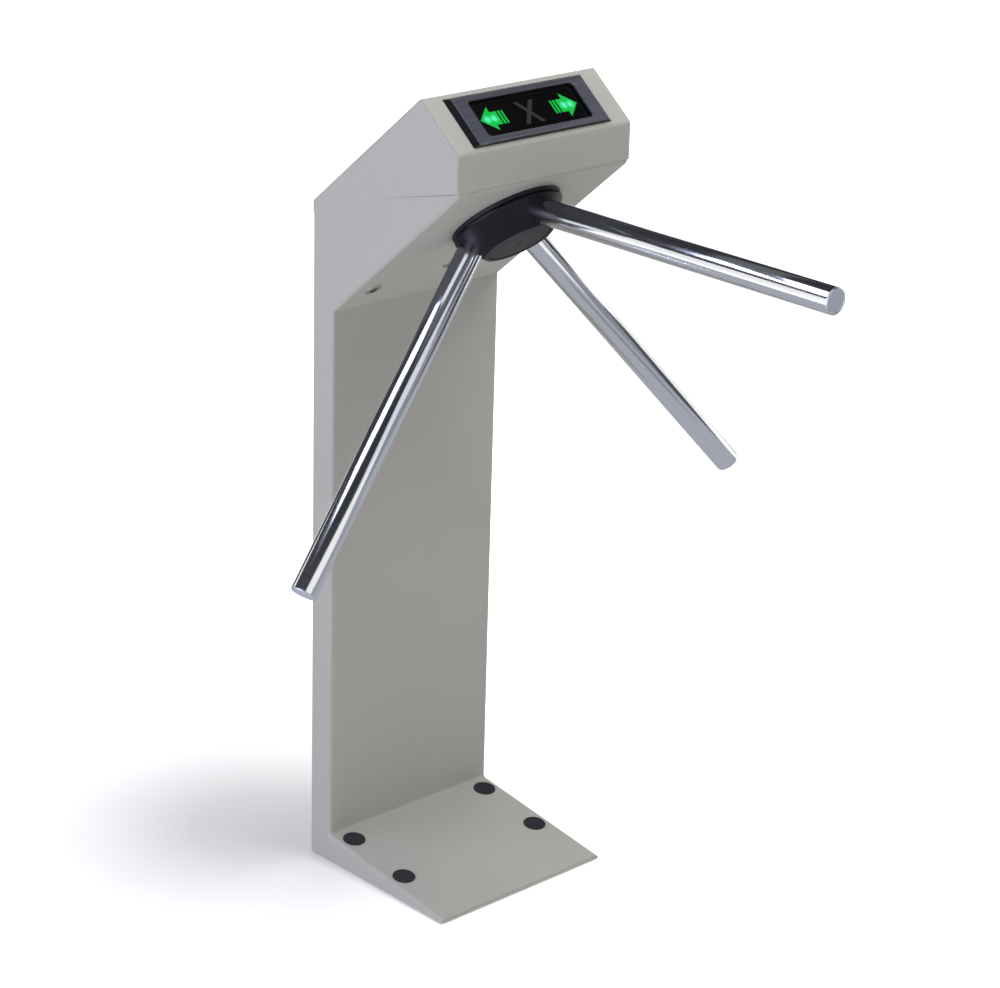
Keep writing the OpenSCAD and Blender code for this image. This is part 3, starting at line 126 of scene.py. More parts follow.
room_light = (0.185, 0.185, 0.187, 1)
background = (1, 1, 1, 1)
world = bpy.data.worlds.new("studio")
scene.world = world
world.use_nodes = True
wt = world.node_tree
room = put(wt, "ShaderNodeMix", (-300, 0), data_type="RGBA", A=room_light, B=background)
join(wt, (background_rays(wt), room.inputs["Factor"]),
     (room.outputs["Result"], wt.nodes["Background"].inputs["Color"]))


def across(left, right, near, far):
    """Corners of a sheet whose edges run along x from left to right, at near (y, z) and at far (y, z)."""
    return [(left, *near), (right, *near), (right, *far), (left, *far)]


def upright(start, end, height):
    """Corners of a sheet that stands on the floor from start (x, y) to end (x, y)."""
    return [(*start, 0), (*end, 0), (*end, height), (*start, height)]


def plane(name, corners, material):
    """Four-cornered sheet of the studio, which isn't part of the object."""
    mesh = bpy.data.meshes.new(name)
    mesh.from_pydata(corners, [], [(0, 1, 2, 3)])
    mesh.materials.append(material)
    o = bpy.data.objects.new(name, mesh)
    scene.collection.objects.link(o)
    return o


# The floor is white paint under the lamps. Away from the object's main shadow it glows for
# background rays only, a painted light that keeps it white where the lamps' light thins out
# and washes out the fainter shadows there.
shadow_middle = (-0.14, 0.2, 0)
glow_from, glow_full, glow_most = 0.1, 0.8, 0.95
floor_half = 8
floor_paint, ft, floor_shader = new_material("floor_paint")
floor_shader.inputs["Base Color"].default_value = (0.95, 0.93, 0.86, 1)
floor_shader.inputs["Roughness"].default_value = 0.9
floor_shader.inputs["Specular IOR Level"].default_value = 0.1
ground = put(ft, "ShaderNodeTexCoord", (-1100, 200))
off_centre = put(ft, "ShaderNodeVectorMath", (-900, 200), operation="DISTANCE")
off_centre.inputs[1].default_value = shadow_middle
# Painted light on the floor: no glow at the main shadow, rising to glow_most beyond glow_full.
thin_light = spread(ft, (-700, 200), 0.0, glow_most, glow_from, glow_full)
glow = put(ft, "ShaderNodeMath", (-450, 0), operation="MULTIPLY")
join(ft, (ground.outputs["Object"], off_centre.inputs[0]),
     (off_centre.outputs["Value"], thin_light.inputs["Value"]),
     (thin_light.outputs["Result"], glow.inputs[0]), (background_rays(ft), glow.inputs[1]),
     (glow.outputs[0], floor_shader.inputs["Emission Strength"]))
floor_shader.inputs["Emission Color"].default_value = background
plane("floor", across(-floor_half, floor_half, (-floor_half, 0), (floor_half, 0)), floor_paint)


def flag(name, corners, level, one_sided=False):
    """Sheet that only mirror rays meet, a painted reflection of one grey level: dark to draw a line, light to
    fill one.
    A one-sided sheet lets the rays from behind it through."""
    m, tree, s = new_material(name)
    s.inputs["Base Color"].default_value = (0, 0, 0, 1)
    s.inputs["Specular IOR Level"].default_value = 0
    s.inputs["Emission Color"].default_value = (0.93, 0.96, 1.06, 1)
    s.inputs["Emission Strength"].default_value = level
    if one_sided:
        side = put(tree, "ShaderNodeNewGeometry", (-300, 300))
        clear = put(tree, "ShaderNodeBsdfTransparent", (0, -500))
        mix = put(tree, "ShaderNodeMixShader", (400, 0))
        surface = tree.nodes["Material Output"].inputs["Surface"]
        join(tree, (side.outputs["Backfacing"], mix.inputs["Fac"]), (s.outputs[0], mix.inputs[1]),
             (clear.outputs[0], mix.inputs[2]), (mix.outputs[0], surface))
    o = plane(name, corners, m)
    o.visible_camera = o.visible_diffuse = o.visible_transmission = o.visible_shadow = False
    return o


# Round the object, painted reflections seen by mirror rays only: the ceiling, three walls, two bright
# sheets, two mats on the floor, and a grey sheet before the display.
ceiling, mat_z, front_mat_z = 3.9, 0.004, 0.008
flag("ceiling_flag", across(-9, 9, (-9, ceiling), (9, ceiling)), 0.035)
flag("high_left_fill", across(-3.4, -1.5, (-0.3, 3.3), (1.8, 3.3)), 0.75)
flag("rear_flag", upright((-1.6, 3.2), (3.5, 3.2), ceiling), 0.05)
flag("right_flag", upright((2.4, -2.2), (3.2, -1.0), 1.3), 0.08)
flag("front_right_flag", upright((0.75, -3.4), (2.4, -2.2), 1.6), 0.3)
flag("front_fill", across(-0.6, 1.0, (-2.4, 1.3), (-2.2, 2.7)), 0.85)
flag("mat", across(-2.2, 3, (-3.6, mat_z), (1.8, mat_z)), 0.46)
flag("front_mat", across(-0.3, 0.9, (-1.6, front_mat_z), (-1, front_mat_z)), 0.3)
flag("display_flag", across(-0.3, 0.24, (-0.422, 1.162), (-0.033, 1.476)), 0.14)

# Close to the head, and only for rays that come from the hub and the arms: painted reflections in
# place of the head's own, one dark sheet at its brow and four along its sloped underside, two dark and two
# light.
sheet_y, sheet_low, sheet_high, sheet_half = -0.154, 0.944, 1, 0.14
sheet_fall = 0.8638
flag("brow_flag", across(-sheet_half, sheet_half, (sheet_y, sheet_low), (sheet_y, sheet_high)), 0.05, True)
hub_half, hub_front, fill_rear, under_rear = 0.03, -0.108, -0.09, 0.07
for name, level, corners in (
        ("nose_flag", 0.04, [(-hub_half, hub_front), (hub_half, hub_front), (0.12, sheet_y),
                             (-0.12, sheet_y)]),
        ("left_fill", 0.9, [(-sheet_half, fill_rear), (-hub_half, fill_rear), (-hub_half, hub_front),
                            (-sheet_half, -0.15)]),
        ("right_fill", 0.9, [(hub_half, fill_rear), (sheet_half, fill_rear), (sheet_half, -0.15),
                             (hub_half, hub_front)]),
        ("under_flag", 0.09, [(-sheet_half, under_rear), (sheet_half, under_rear), (sheet_half, fill_rear),
                              (-sheet_half, fill_rear)])):
    flag(name, [(x, y, sheet_low - sheet_fall * (y - sheet_y)) for x, y in corners], level, True)

lamp_side, lamp_distance, object_middle = 1.8, 3.2, Vector((0, 0, 0.55))


def softbox(name, azimuth, elevation, power, colour=(1, 1, 1), mirrored=True):
    """Square area lamp on a sphere round the middle of the object, turned to face it.
    One that isn't mirrored lights the object without showing in its gloss."""
    back = backwards(azimuth, elevation)
    lamp = bpy.data.lights.new(name, "AREA")
    lamp.shape = "SQUARE"
    lamp.size = lamp_side
    lamp.energy = power
    lamp.color = colour
    o = bpy.data.objects.new(name, lamp)
    turn = back.to_track_quat("Z", "Y").to_matrix().to_4x4()
    o.matrix_world = Matrix.Translation(object_middle + lamp_distance * back) @ turn
    o.visible_glossy = mirrored
    scene.collection.objects.link(o)


softbox("left_lamp", -75, 0, 58, (0.93, 0.95, 1.28))
softbox("high_left_lamp", -110, 55, 27, (0.94, 0.97, 1.35))
softbox("high_right_lamp", 45, 64, 60, mirrored=False)
softbox("top_lamp", 0, 88, 9, (0.96, 0.98, 1.1), mirrored=False)
softbox("front_lamp", 10, 0, 5.5, mirrored=False)
softbox("right_lamp", 80, 30, 8)
softbox("rear_lamp", 135, 45, 20, mirrored=False)


# ---- Powder-coated housing
# Side plates, base cover, front sheet, rear wall and lid are steel sheet, bent
# and welded, and sprayed with a silver-grey powder that dries to a fine grain.
def grain_group():
    """Sprayed grain: a fine noise gives the height, and it and a coarse one mottle the colour."""
    g = bpy.data.node_groups.new("sprayed_grain", "ShaderNodeTree")
    g.interface.new_socket("Grain size", in_out="INPUT", socket_type="NodeSocketFloat").default_value = 1200
    g.interface.new_socket("Mottle", in_out="INPUT", socket_type="NodeSocketFloat").default_value = 0.06
    g.interface.new_socket("Colour", in_out="INPUT", socket_type="NodeSocketColor")
    g.interface.new_socket("Colour", in_out="OUTPUT", socket_type="NodeSocketColor")
    g.interface.new_socket("Height", in_out="OUTPUT", socket_type="NodeSocketFloat")
    g.interface.new_socket("Roughness shift", in_out="OUTPUT", socket_type="NodeSocketFloat")
    ins = put(g, "NodeGroupInput", (-900, 0))
    outs = put(g, "NodeGroupOutput", (700, 0))
    place = put(g, "ShaderNodeTexCoord", (-900, 300))
    fine = put(g, "ShaderNodeTexNoise", (-600, 300), Detail=3.0, Roughness=0.6)
    coarse = put(g, "ShaderNodeTexNoise", (-600, 0), Scale=9.0, Detail=3.0)
    fleck = spread(g, (-300, 300), -1, 1, 0.3, 0.7)
    both = put(g, "ShaderNodeMath", (-100, 100), operation="MULTIPLY_ADD")
    both.inputs[1].default_value = 0.6
    shade = put(g, "ShaderNodeMath", (100, 100), operation="MULTIPLY_ADD")
    shade.inputs[2].default_value = 1.0
    tint = put(g, "ShaderNodeVectorMath", (350, 0), operation="SCALE")
    centre = put(g, "ShaderNodeMath", (-300, 0), operation="SUBTRACT")
    centre.inputs[1].default_value = 0.5
    join(g, (place.outputs["Object"], fine.inputs["Vector"]),
         (place.outputs["Object"], coarse.inputs["Vector"]),
         (ins.outputs["Grain size"], fine.inputs["Scale"]),
         (fine.outputs["Fac"], fleck.inputs["Value"]),
         (coarse.outputs["Fac"], centre.inputs[0]),
         (fleck.outputs["Result"], both.inputs[0]),
         (centre.outputs[0], both.inputs[2]),
         (both.outputs[0], shade.inputs[0]),
         (ins.outputs["Mottle"], shade.inputs[1]),
         (ins.outputs["Colour"], tint.inputs[0]),
         (shade.outputs[0], tint.inputs["Scale"]),
         (tint.outputs["Vector"], outs.inputs["Colour"]),
         (fine.outputs["Fac"], outs.inputs["Height"]),
         (centre.outputs[0], outs.inputs["Roughness shift"]))
    return g


grain = grain_group()


def coated(name, colour, roughness, size, mottle, bump=0.25, shine=0.5):
    """Sprayed or moulded finish: the grain tints the colour, moves the roughness and feeds a bump."""
    m, t, s = new_material(name)
    g = put(t, "ShaderNodeGroup", (-600, 0), node_tree=grain)
    g.inputs["Colour"].default_value = (*colour, 1)
    g.inputs["Grain size"].default_value = size
    g.inputs["Mottle"].default_value = mottle
    rough = put(t, "ShaderNodeMath", (-350, -100), operation="MULTIPLY_ADD")
    rough.inputs[1].default_value = 0.15
    rough.inputs[2].default_value = roughness
    relief = put(t, "ShaderNodeBump", (-350, -300), Strength=bump, Distance=0.0002)
    join(t, (g.outputs["Colour"], s.inputs["Base Color"]),
         (g.outputs["Roughness shift"], rough.inputs[0]), (rough.outputs[0], s.inputs["Roughness"]),
         (g.outputs["Height"], relief.inputs["Height"]), (relief.outputs["Normal"], s.inputs["Normal"]))
    s.inputs["Specular IOR Level"].default_value = shine
    return m


def dress(names, material):
    """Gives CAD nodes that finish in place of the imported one."""
    for n in names:
        nodes[n].data.materials.clear()
        nodes[n].data.materials.append(material)


crisp = math.radians(32)


def smoothing_group():
    """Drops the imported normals, shades faces smooth and keeps edges bent by over crisp sharp."""
    g = bpy.data.node_groups.new("smooth_by_angle", "GeometryNodeTree")
    g.is_modifier = True
    g.interface.new_socket("Geometry", in_out="INPUT", socket_type="NodeSocketGeometry")
    g.interface.new_socket("Geometry", in_out="OUTPUT", socket_type="NodeSocketGeometry")
    ins = put(g, "NodeGroupInput", (-700, 0))
    outs = put(g, "NodeGroupOutput", (500, 0))
    plain = put(g, "GeometryNodeRemoveAttribute", (-450, 0))
    plain.inputs["Name"].default_value = "custom_normal"
    bend = put(g, "GeometryNodeInputMeshEdgeAngle", (-450, -200))
    small = put(g, "FunctionNodeCompare", (-250, -200), data_type="FLOAT", operation="LESS_THAN")
    small.inputs[1].default_value = crisp
    faces = put(g, "GeometryNodeSetShadeSmooth", (-200, 0), domain="FACE")
    edges = put(g, "GeometryNodeSetShadeSmooth", (200, 0), domain="EDGE")
    join(g, (ins.outputs[0], plain.inputs[0]), (plain.outputs[0], faces.inputs["Geometry"]),
         (faces.outputs[0], edges.inputs["Geometry"]), (bend.outputs["Unsigned Angle"], small.inputs[0]),
         (small.outputs[0], edges.inputs["Shade Smooth"]), (edges.outputs[0], outs.inputs[0]))
    return g


smoothing = smoothing_group()


weld_gap = 2e-6


def soften(names, width):
    """Welds a CAD node's split corners, shades it smooth, and rounds its sharp edges by width."""
    for n in names:
        nodes[n].modifiers.new("weld", "WELD").merge_threshold = weld_gap
        nodes[n].modifiers.new("smooth", "NODES").node_group = smoothing
        b = nodes[n].modifiers.new("edge", "BEVEL")
        b.width = width
        b.segments = 2
        b.limit_method = "ANGLE"
        b.angle_limit = crisp
        b.harden_normals = True
        b.use_clamp_overlap = True


sheet_edge, side_edge = 0.0003, 0.0007
sheets = ["base_cover", "front_panel", "rear_panel", "lid_shell"]
side_plates = ["left_side_plate", "right_side_plate"]
powder = coated("silver_powder", (0.41, 0.402, 0.352), 0.42, size=1500, mottle=0.07, bump=0.3)
dress(sheets + side_plates, powder)
soften(sheets, sheet_edge)
soften(side_plates, side_edge)


# ---- Galvanised inner sheets
# Floor plate, bolt wells, stiffeners, mechanism plate, solenoid brackets and the
# lid's catch are cut from galvanised sheet with a faint spangle.
def galvanised(name, colour):
    """Zinc spangle: flat crystal cells of slightly different grey and gloss."""
    m, t, s = new_material(name)
    place = put(t, "ShaderNodeTexCoord", (-900, 0))
    cells = put(t, "ShaderNodeTexVoronoi", (-700, 0), Scale=140.0)
    tone = spread(t, (-500, 0), 0.82, 1.12)
    tint = put(t, "ShaderNodeVectorMath", (-300, 0), operation="SCALE")
    tint.inputs[0].default_value = colour
    gloss = spread(t, (-300, -200), 0.32, 0.48)
    join(t, (place.outputs["Object"], cells.inputs["Vector"]), (cells.outputs["Color"], tone.inputs["Value"]),
         (tone.outputs["Result"], tint.inputs["Scale"]), (tint.outputs["Vector"], s.inputs["Base Color"]),
         (cells.outputs["Color"], gloss.inputs["Value"]), (gloss.outputs["Result"], s.inputs["Roughness"]))
    s.inputs["Metallic"].default_value = 0.9
    return m


zinc = galvanised("zinc_sheet", (0.5, 0.51, 0.53))
dress(["floor_plate", "column_stiffeners", "anchor_wells", "mechanism_plate", "solenoid_frames",
       "sensor_bracket", "lid_catch"], zinc)


# ---- Push-in plugs over the floor bolts
# Moulded black plastic discs with a rounded rim and a slightly sunken face,
# pressed into the holes of the base cover, square to its slope.
front_y, body_depth, column_depth = -0.15, 0.26, 0.036
cover_low, cover_high = 0.0065, 0.036
slope = math.atan2(cover_high - cover_low, body_depth - column_depth)
plug_x, plug_y = 0.115, 0.05


def turned(name, profile, origin, axis, around):
    """Surface of revolution: each profile point (r, h) is carried round to
    origin + h * w + r * (cos t * u + sin t * v), where w is the axis and u, v are square to it."""
    p = np.asarray(profile, float)
    w = np.asarray(axis, float) / np.linalg.norm(axis)
    u = np.cross(w, (1.0, 0.3, 0.1))
    u /= np.linalg.norm(u)
    v = np.cross(w, u)
    t = np.linspace(0, 2 * np.pi, around, endpoint=False)
    ring = np.cos(t)[:, None] * u + np.sin(t)[:, None] * v
    points = np.asarray(origin) + p[:, 1, None, None] * w + p[:, 0, None, None] * ring[None]
    i, j = np.meshgrid(np.arange(len(p) - 1), np.arange(around), indexing="ij")
    a, b = i * around + j, i * around + (j + 1) % around
    quads = np.stack([a, b, b + around, a + around], axis=-1).reshape(-1, 4)
    return shaped(name, points.reshape(-1, 3), quads)


def shaped(name, points, faces):
    """Mesh object from arrays of points and of four-cornered faces, with its poles merged,
    its faces turned outwards and edges sharper than 35 degrees kept crisp."""
    mesh = bpy.data.meshes.new(name)
    mesh.vertices.add(len(points))
    mesh.vertices.foreach_set("co", np.asarray(points, np.float32).ravel())
    mesh.loops.add(faces.size)
    mesh.loops.foreach_set("vertex_index", faces.astype(np.int32).ravel())
    mesh.polygons.add(len(faces))
    mesh.polygons.foreach_set("loop_start", np.arange(len(faces), dtype=np.int32) * 4)
    mesh.update(calc_edges=True)
    b = bmesh.new()
    b.from_mesh(mesh)
    bmesh.ops.remove_doubles(b, verts=b.verts, dist=1e-6)
    bmesh.ops.dissolve_degenerate(b, edges=b.edges, dist=1e-7)
    bmesh.ops.recalc_face_normals(b, faces=b.faces)
    b.to_mesh(mesh)
    b.free()
    mesh.polygons.foreach_set("use_smooth", np.ones(len(mesh.polygons), bool))
    mesh.set_sharp_from_angle(angle=math.radians(35))
    o = bpy.data.objects.new(name, mesh)
    scene.collection.objects.link(o)
    return o


def rounded(points, radius, steps=6):
    """Profile with each inner corner (r, h, radius given or the common one) replaced by an arc:
    the arc's centre lies on the corner's bisector, and it touches both sides."""
    p = [np.asarray(q[:2], float) for q in points]
    out = [p[0]]
    for k in range(1, len(p) - 1):
        r = points[k][2] if len(points[k]) > 2 else radius
        u, v = p[k - 1] - p[k], p[k + 1] - p[k]
        lu, lv = np.linalg.norm(u), np.linalg.norm(v)
        u, v = u / lu, v / lv
        half = math.acos(np.clip(u @ v, -1, 1)) / 2
        reach = min(r / math.tan(half), lu * 0.49, lv * 0.49)
        r = reach * math.tan(half)
        m = p[k] + (u + v) / np.linalg.norm(u + v) * r / math.sin(half)
        s, e = p[k] + u * reach - m, p[k] + v * reach - m
        turn = math.atan2(s[0] * e[1] - s[1] * e[0], s @ e)
        a = math.atan2(s[1], s[0]) + turn * np.linspace(0, 1, steps + 1)
        out.extend(m + r * np.stack([np.cos(a), np.sin(a)], axis=1))
    out.append(p[-1])
    return np.array(out)


plug_black = coated("moulded_black", (0.022, 0.022, 0.028), 0.5, size=2600, mottle=0.12, bump=0.2, shine=0.25)
plug_up = np.array([0, -math.sin(slope), math.cos(slope)])
plug_r, skirt_out, skirt_in = 0.0148, 0.0139, 0.0118
plug_rim, plug_face, plug_floor, skirt_end, plug_seat = 0.0014, 0.0009, -0.001, -0.006, 0.00005
plug_profile = rounded([(0, plug_face), (0.0124, plug_face), (0.0132, plug_rim), (plug_r, plug_rim),
                        (plug_r, plug_seat), (skirt_out, plug_seat), (skirt_out, -0.002), (0.013, skirt_end),
                        (skirt_in, skirt_end), (skirt_in, plug_floor), (0, plug_floor)], 0.0004)
for side, x in (("left", -plug_x), ("right", plug_x)):
    for end, y in (("front", -plug_y), ("rear", plug_y)):
        z = cover_low + (y - front_y) * math.tan(slope)
        plug = turned(f"plug_{end}_{side}", plug_profile, (x, y, z), plug_up, 72)
        plug.data.materials.append(plug_black)
        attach(plug, "frame")
        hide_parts("anchor_plugs")


# ---- Cable grommet
# Soft black rubber ring in the floor plate, under the base cover.
rubber = coated("soft_rubber", (0.02, 0.02, 0.02), 0.75, size=900, mottle=0.2, bump=0.4)
dress(["cable_grommet"], rubber)


# ---- Fixed ring
# Moulded black ring with a rounded edge, screwed to the underside of the head round
# the hub. The hub's axis is square to the underside, which rises from the knee over
# the column, and heights along the axis are measured from the underside.
rear_y, knee_z, brow_z = 0.110, 0.7535, 0.946
under = math.atan2(brow_z - knee_z, body_depth - column_depth)
hub_axis = -np.array([0, math.sin(under), math.cos(under)])
hub_up_slope = 0.208
hub_place = np.array([0, rear_y - column_depth - hub_up_slope * math.cos(under),
                      knee_z + hub_up_slope * math.sin(under)])
ring_in, ring_out, ring_h, ring_seat, ring_back = 0.047, 0.071, 0.005, 0.00003, -0.002
ring_profile = rounded([(ring_in, ring_back), (ring_in, ring_h), (0.0695, ring_h, 0.0012), (ring_out, 0.0012),
                        (ring_out, ring_seat), (0.049, ring_seat), (0.04895, ring_back),
                        (ring_in, ring_back)], 0.0003)
ring = turned("hub_ring_moulding", ring_profile, hub_place, hub_axis, 128)
ring_black = coated("ring_black", (0.009, 0.009, 0.013), 0.5, size=2600, mottle=0.12, bump=0.2, shine=0.2)
ring.data.materials.append(ring_black)
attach(ring, "frame")
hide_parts("hub_ring")


# ---- Rotor hub
# Cast aluminium cone, machined where the arms enter and sprayed satin black,
# with a shallow grey cap in its nose.
hub_black = coated("hub_black", (0.006, 0.006, 0.01), 0.42, size=1800, mottle=0.12, bump=0.25, shine=0.22)
cone = math.radians(49.6)
hub_r, hub_back, cone_back, cone_out = 0.071, 0.006, 0.009, 0.039
nose_r = hub_r - (cone_out - cone_back) / math.tan(cone)
hub_bore, hub_well, well_top, cap_hole, cap_floor = 0.0125, 0.036, 0.014, 0.0404, 0.036
hub_profile = rounded([(hub_bore, well_top), (hub_well, 0.0165), (hub_well, hub_back),
                       (hub_r, hub_back, 0.0012), (hub_r, cone_back, 0.002), (nose_r, cone_out, 0.0015),
                       (cap_hole, cone_out, 0.0005), (cap_hole, cap_floor), (hub_bore, cap_floor),
                       (hub_bore, well_top)], 0.0003, 8)
hub = turned("rotor_hub", hub_profile, hub_place, hub_axis, 160)
hub.data.materials.append(hub_black)
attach(hub, "rotor")
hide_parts("hub_body")

cap_grey = coated("cap_grey", (0.045, 0.041, 0.04), 0.5, size=1800, mottle=0.1, bump=0.2, shine=0.1)
cap_r, cap_face, cap_dimple = 0.04, 0.0385, 0.0378
cap_profile = rounded([(0, cap_dimple), (0.003, cap_dimple), (0.0036, cap_face), (0.0394, cap_face),
                       (cap_r, cap_dimple), (cap_r, cap_floor), (0, cap_floor)], 0.0006)
cap = turned("rotor_cap", cap_profile, hub_place, hub_axis, 128)
cap.data.materials.append(cap_grey)
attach(cap, "rotor")
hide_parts("hub_cap")


# ---- Arms
# Three polished stainless tubes, bolted into the hub through their thick roots,
# each closed at its tip by a turned disc with a low rim round its face.
def polished(name, colour, roughness, fineness):
    """Polished steel: a little uneven gloss and a very fine grain of polishing marks."""
    m, t, s = new_material(name)
    place = put(t, "ShaderNodeTexCoord", (-900, 0))
    smear = put(t, "ShaderNodeTexNoise", (-650, 0), Scale=35.0, Detail=4.0)
    gloss = spread(t, (-400, 0), roughness * 0.85, roughness * 1.2)
    marks = put(t, "ShaderNodeTexNoise", (-650, -250), Scale=fineness, Detail=2.0)
    relief = put(t, "ShaderNodeBump", (-400, -250), Strength=0.004, Distance=0.0001)
    join(t, (place.outputs["Object"], smear.inputs["Vector"]), (smear.outputs["Fac"], gloss.inputs["Value"]),
         (gloss.outputs["Result"], s.inputs["Roughness"]), (place.outputs["Object"], marks.inputs["Vector"]),
         (marks.outputs["Fac"], relief.inputs["Height"]), (relief.outputs["Normal"], s.inputs["Normal"]))
    s.inputs["Base Color"].default_value = (*colour, 1)
    s.inputs["Metallic"].default_value = 1.0
    return m


tube_steel = polished("polished_tube", (0.82, 0.83, 0.86), 0.14, 900.0)
end_steel = polished("turned_end", (0.86, 0.89, 0.95), 0.34, 1500.0)
apex_back = 0.0245
apex = hub_place - hub_axis * apex_back
forward = np.array([0, -math.cos(under), math.sin(under)])
tube_r, tube_in, root_in, plug_in = 0.016, 0.014, 0.012, 0.01395
root, root_end, tube_end, tip, tip_face, plug_end = 0.07, 0.1, 0.538, 0.54, 0.5396, 0.528
tube_profile = rounded([(root_in, root), (tube_r, root), (tube_r, tube_end), (tube_in, tube_end),
                        (tube_in, root_end), (root_in, root_end), (root_in, root)], 0.00005, 2)
end_profile = rounded([(0, tip_face), (0.0126, tip_face), (0.0132, tip), (0.0146, tip), (tube_r, 0.5389),
                       (tube_r, tube_end), (plug_in, tube_end), (plug_in, plug_end), (0, plug_end)], 0.0003)
sideways = np.cross(-hub_axis, forward)
for name, turn in (("arm_front", 0), ("arm_left", -120), ("arm_right", 120)):
    t = math.radians(turn)
    lean = math.cos(t) * forward + math.sin(t) * sideways
    arm_axis = math.cos(cone) * hub_axis + math.sin(cone) * lean
    tube = turned(name + "_tube", tube_profile, apex, arm_axis, 96)
    tube.data.materials.append(tube_steel)
    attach(tube, "rotor")
    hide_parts(name)
    end = turned(name + "_end", end_profile, apex, arm_axis, 96)
    end.data.materials.append(end_steel)
    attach(end, "rotor")
    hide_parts("arm_end_caps")


# ---- Locks and machined parts
# Turned and milled metal with fine tool marks: nickel-plated lock barrels, steel
# shaft, bearings, pawls, screws and nuts, brass gears and a blackened encoder disc.
def machined(name, colour, roughness):
    """Milled metal: stretched noise for tool marks, which also moves the tone and the gloss."""
    m, t, s = new_material(name)
    place = put(t, "ShaderNodeTexCoord", (-900, 0))
    stretch = put(t, "ShaderNodeMapping", (-700, 0))
    stretch.inputs["Scale"].default_value = (1, 6, 6)
    marks = put(t, "ShaderNodeTexNoise", (-500, 0), Scale=260.0, Detail=4.0)
    gloss = spread(t, (-300, 0), roughness * 0.75, roughness * 1.3)
    tone = spread(t, (-300, 200), 0.9, 1.08)
    tint = put(t, "ShaderNodeVectorMath", (-100, 200), operation="SCALE")
    tint.inputs[0].default_value = colour
    relief = put(t, "ShaderNodeBump", (-300, -250), Strength=0.08, Distance=0.0001)
    join(t, (place.outputs["Object"], stretch.inputs["Vector"]),
         (stretch.outputs["Vector"], marks.inputs["Vector"]),
         (marks.outputs["Fac"], gloss.inputs["Value"]), (gloss.outputs["Result"], s.inputs["Roughness"]),
         (marks.outputs["Fac"], tone.inputs["Value"]), (tone.outputs["Result"], tint.inputs["Scale"]),
         (tint.outputs["Vector"], s.inputs["Base Color"]),
         (marks.outputs["Fac"], relief.inputs["Height"]), (relief.outputs["Normal"], s.inputs["Normal"]))
    s.inputs["Metallic"].default_value = 1.0
    return m


dress(["lock_barrels"], machined("lock_nickel", (0.5, 0.49, 0.46), 0.4))
dress(["lid_lock_plug", "release_lock_plug"], machined("lock_plug_steel", (0.14, 0.135, 0.13), 0.4))
dress(["rotor_shaft", "bearing_inner_rings", "bearing_outer_rings", "bearing_housing", "housing_screws",
       "hub_bolt", "arm_bolts", "control_disc", "shaft_nut", "crank_disc", "left_pawl", "right_pawl",
       "left_plunger", "right_plunger", "pawl_pivots", "spring_post", "centring_spring", "standoffs",
       "stud_nuts", "board_standoffs"], machined("machined_steel", (0.56, 0.56, 0.57), 0.3))
dress(["main_gear", "pinion"], machined("gear_brass", (0.68, 0.5, 0.22), 0.28))
dress(["encoder_disc", "damper_body"],
      coated("black_oxide", (0.03, 0.03, 0.035), 0.45, size=1800, mottle=0.15))


# ---- Boards, coils and switch
# Green circuit boards with their parts, varnished coils and a moulded switch.
dress(["control_board", "display_board", "position_sensor"],
      coated("solder_mask", (0.015, 0.11, 0.04), 0.3, size=700, mottle=0.25, bump=0.1))
dress(["solenoid_coils"], coated("coil_tape", (0.2, 0.03, 0.02), 0.5, size=500, mottle=0.2, bump=0.4))
dress(["key_switch", "display_tray"], plug_black)


# ---- Display
# A glossy black moulded bezel, a brushed dark metal frame, and behind it a
# smoked window with lit arrows and an unlit cross.
dress(["display_bezel"],
      coated("bezel_black", (0.008, 0.008, 0.009), 0.16, size=1500, mottle=0.1, bump=0.04))


def brushed(name, colour, roughness):
    """Brushed metal: noise drawn out along X gives lines that shade the colour, gloss and relief."""
    m, t, s = new_material(name)
    place = put(t, "ShaderNodeTexCoord", (-900, 0))
    stretch = put(t, "ShaderNodeMapping", (-700, 0))
    stretch.inputs["Scale"].default_value = (6, 1400, 1400)
    lines = put(t, "ShaderNodeTexNoise", (-500, 0), Scale=1.0, Detail=5.0)
    tone = spread(t, (-300, 200), 0.75, 1.2, 0.3, 0.7)
    tint = put(t, "ShaderNodeVectorMath", (-100, 200), operation="SCALE")
    tint.inputs[0].default_value = colour
    gloss = spread(t, (-300, 0), roughness * 0.7, roughness * 1.4)
    relief = put(t, "ShaderNodeBump", (-300, -250), Strength=0.12, Distance=0.0001)
    join(t, (place.outputs["Object"], stretch.inputs["Vector"]),
         (stretch.outputs["Vector"], lines.inputs["Vector"]),
         (lines.outputs["Fac"], tone.inputs["Value"]), (tone.outputs["Result"], tint.inputs["Scale"]),
         (tint.outputs["Vector"], s.inputs["Base Color"]), (lines.outputs["Fac"], gloss.inputs["Value"]),
         (gloss.outputs["Result"], s.inputs["Roughness"]),
         (lines.outputs["Fac"], relief.inputs["Height"]), (relief.outputs["Normal"], s.inputs["Normal"]))
    s.inputs["Metallic"].default_value = 1.0
    return m


dress(["display_frame"], brushed("brushed_frame", (0.42, 0.43, 0.52), 0.36))
dress(["display_window"],
      coated("smoked_window", (0.003, 0.003, 0.003), 0.12, size=600, mottle=0.2, bump=0.02, shine=0.3))


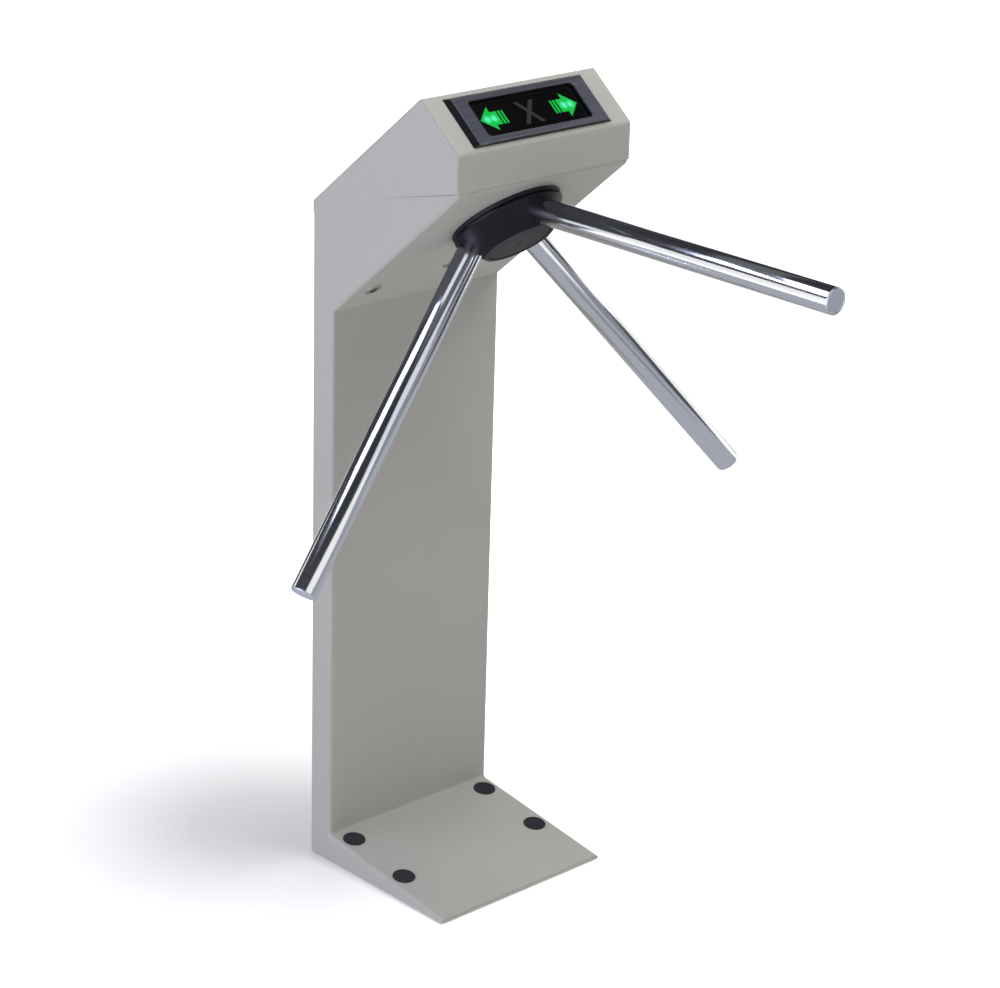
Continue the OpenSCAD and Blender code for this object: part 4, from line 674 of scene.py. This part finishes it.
def lit(name, base, glow, bright, spots, reach):
    """Lit lens: its glow goes smoothly from bright at the spots of the lamps behind it to
    the plain glow at reach from them, and a slow noise washes the plain glow."""
    m, t, s = new_material(name)
    place = put(t, "ShaderNodeTexCoord", (-1100, 0))
    near = []
    for k, spot in enumerate(spots):
        far = put(t, "ShaderNodeVectorMath", (-900, -200 * k), operation="DISTANCE")
        far.inputs[1].default_value = spot
        fall = spread(t, (-700, -200 * k), 1.0, 0.0, 0.0, reach)
        fall.interpolation_type = "SMOOTHSTEP"
        join(t, (place.outputs["Object"], far.inputs[0]), (far.outputs["Value"], fall.inputs["Value"]))
        near.append(fall.outputs["Result"])
    nearest = near[0]
    for k, other in enumerate(near[1:], 1):
        top = put(t, "ShaderNodeMath", (-500, -200 * k), operation="MAXIMUM")
        join(t, (nearest, top.inputs[0]), (other, top.inputs[1]))
        nearest = top.outputs[0]
    wash = put(t, "ShaderNodeTexNoise", (-700, 300), Scale=90.0, Detail=2.0)
    body = put(t, "ShaderNodeMix", (-300, 200), data_type="RGBA")
    body.inputs["A"].default_value = (*[c * 0.75 for c in glow], 1)
    body.inputs["B"].default_value = (*glow, 1)
    hot = put(t, "ShaderNodeMix", (-100, 100), data_type="RGBA")
    hot.inputs["B"].default_value = (*bright, 1)
    join(t, (place.outputs["Object"], wash.inputs["Vector"]), (wash.outputs["Fac"], body.inputs["Factor"]),
         (nearest, hot.inputs["Factor"]), (body.outputs["Result"], hot.inputs["A"]),
         (hot.outputs["Result"], s.inputs["Emission Color"]))
    s.inputs["Emission Strength"].default_value = 1.0
    s.inputs["Base Color"].default_value = (*base, 1)
    s.inputs["Roughness"].default_value = 0.3
    return m


brow_top, ridge_z, face_depth = 0.996, 1.05, 0.067
face = math.atan2(ridge_z - brow_top, face_depth)


def on_face(x, along):
    """Point on the display face, in metres: x across, and along up the slope from the brow."""
    return (x, front_y + along * math.cos(face), brow_top + along * math.sin(face))


lamp_up, lamp_xs, lamp_reach = 0.0405, (0.056, 0.066), 0.0075
lamps = [on_face(side * x, lamp_up) for side in (-1, 1) for x in lamp_xs]
dress(["arrow_lights"], lit("arrow_glow", (0.0, 0.05, 0.015), (0.0, 0.55, 0.045), (0.12, 1.0, 0.55),
                            lamps, lamp_reach))
dress(["cross_light"],
      coated("cross_grey", (0.03, 0.026, 0.023), 0.45, size=900, mottle=0.1, bump=0.02, shine=0.15))
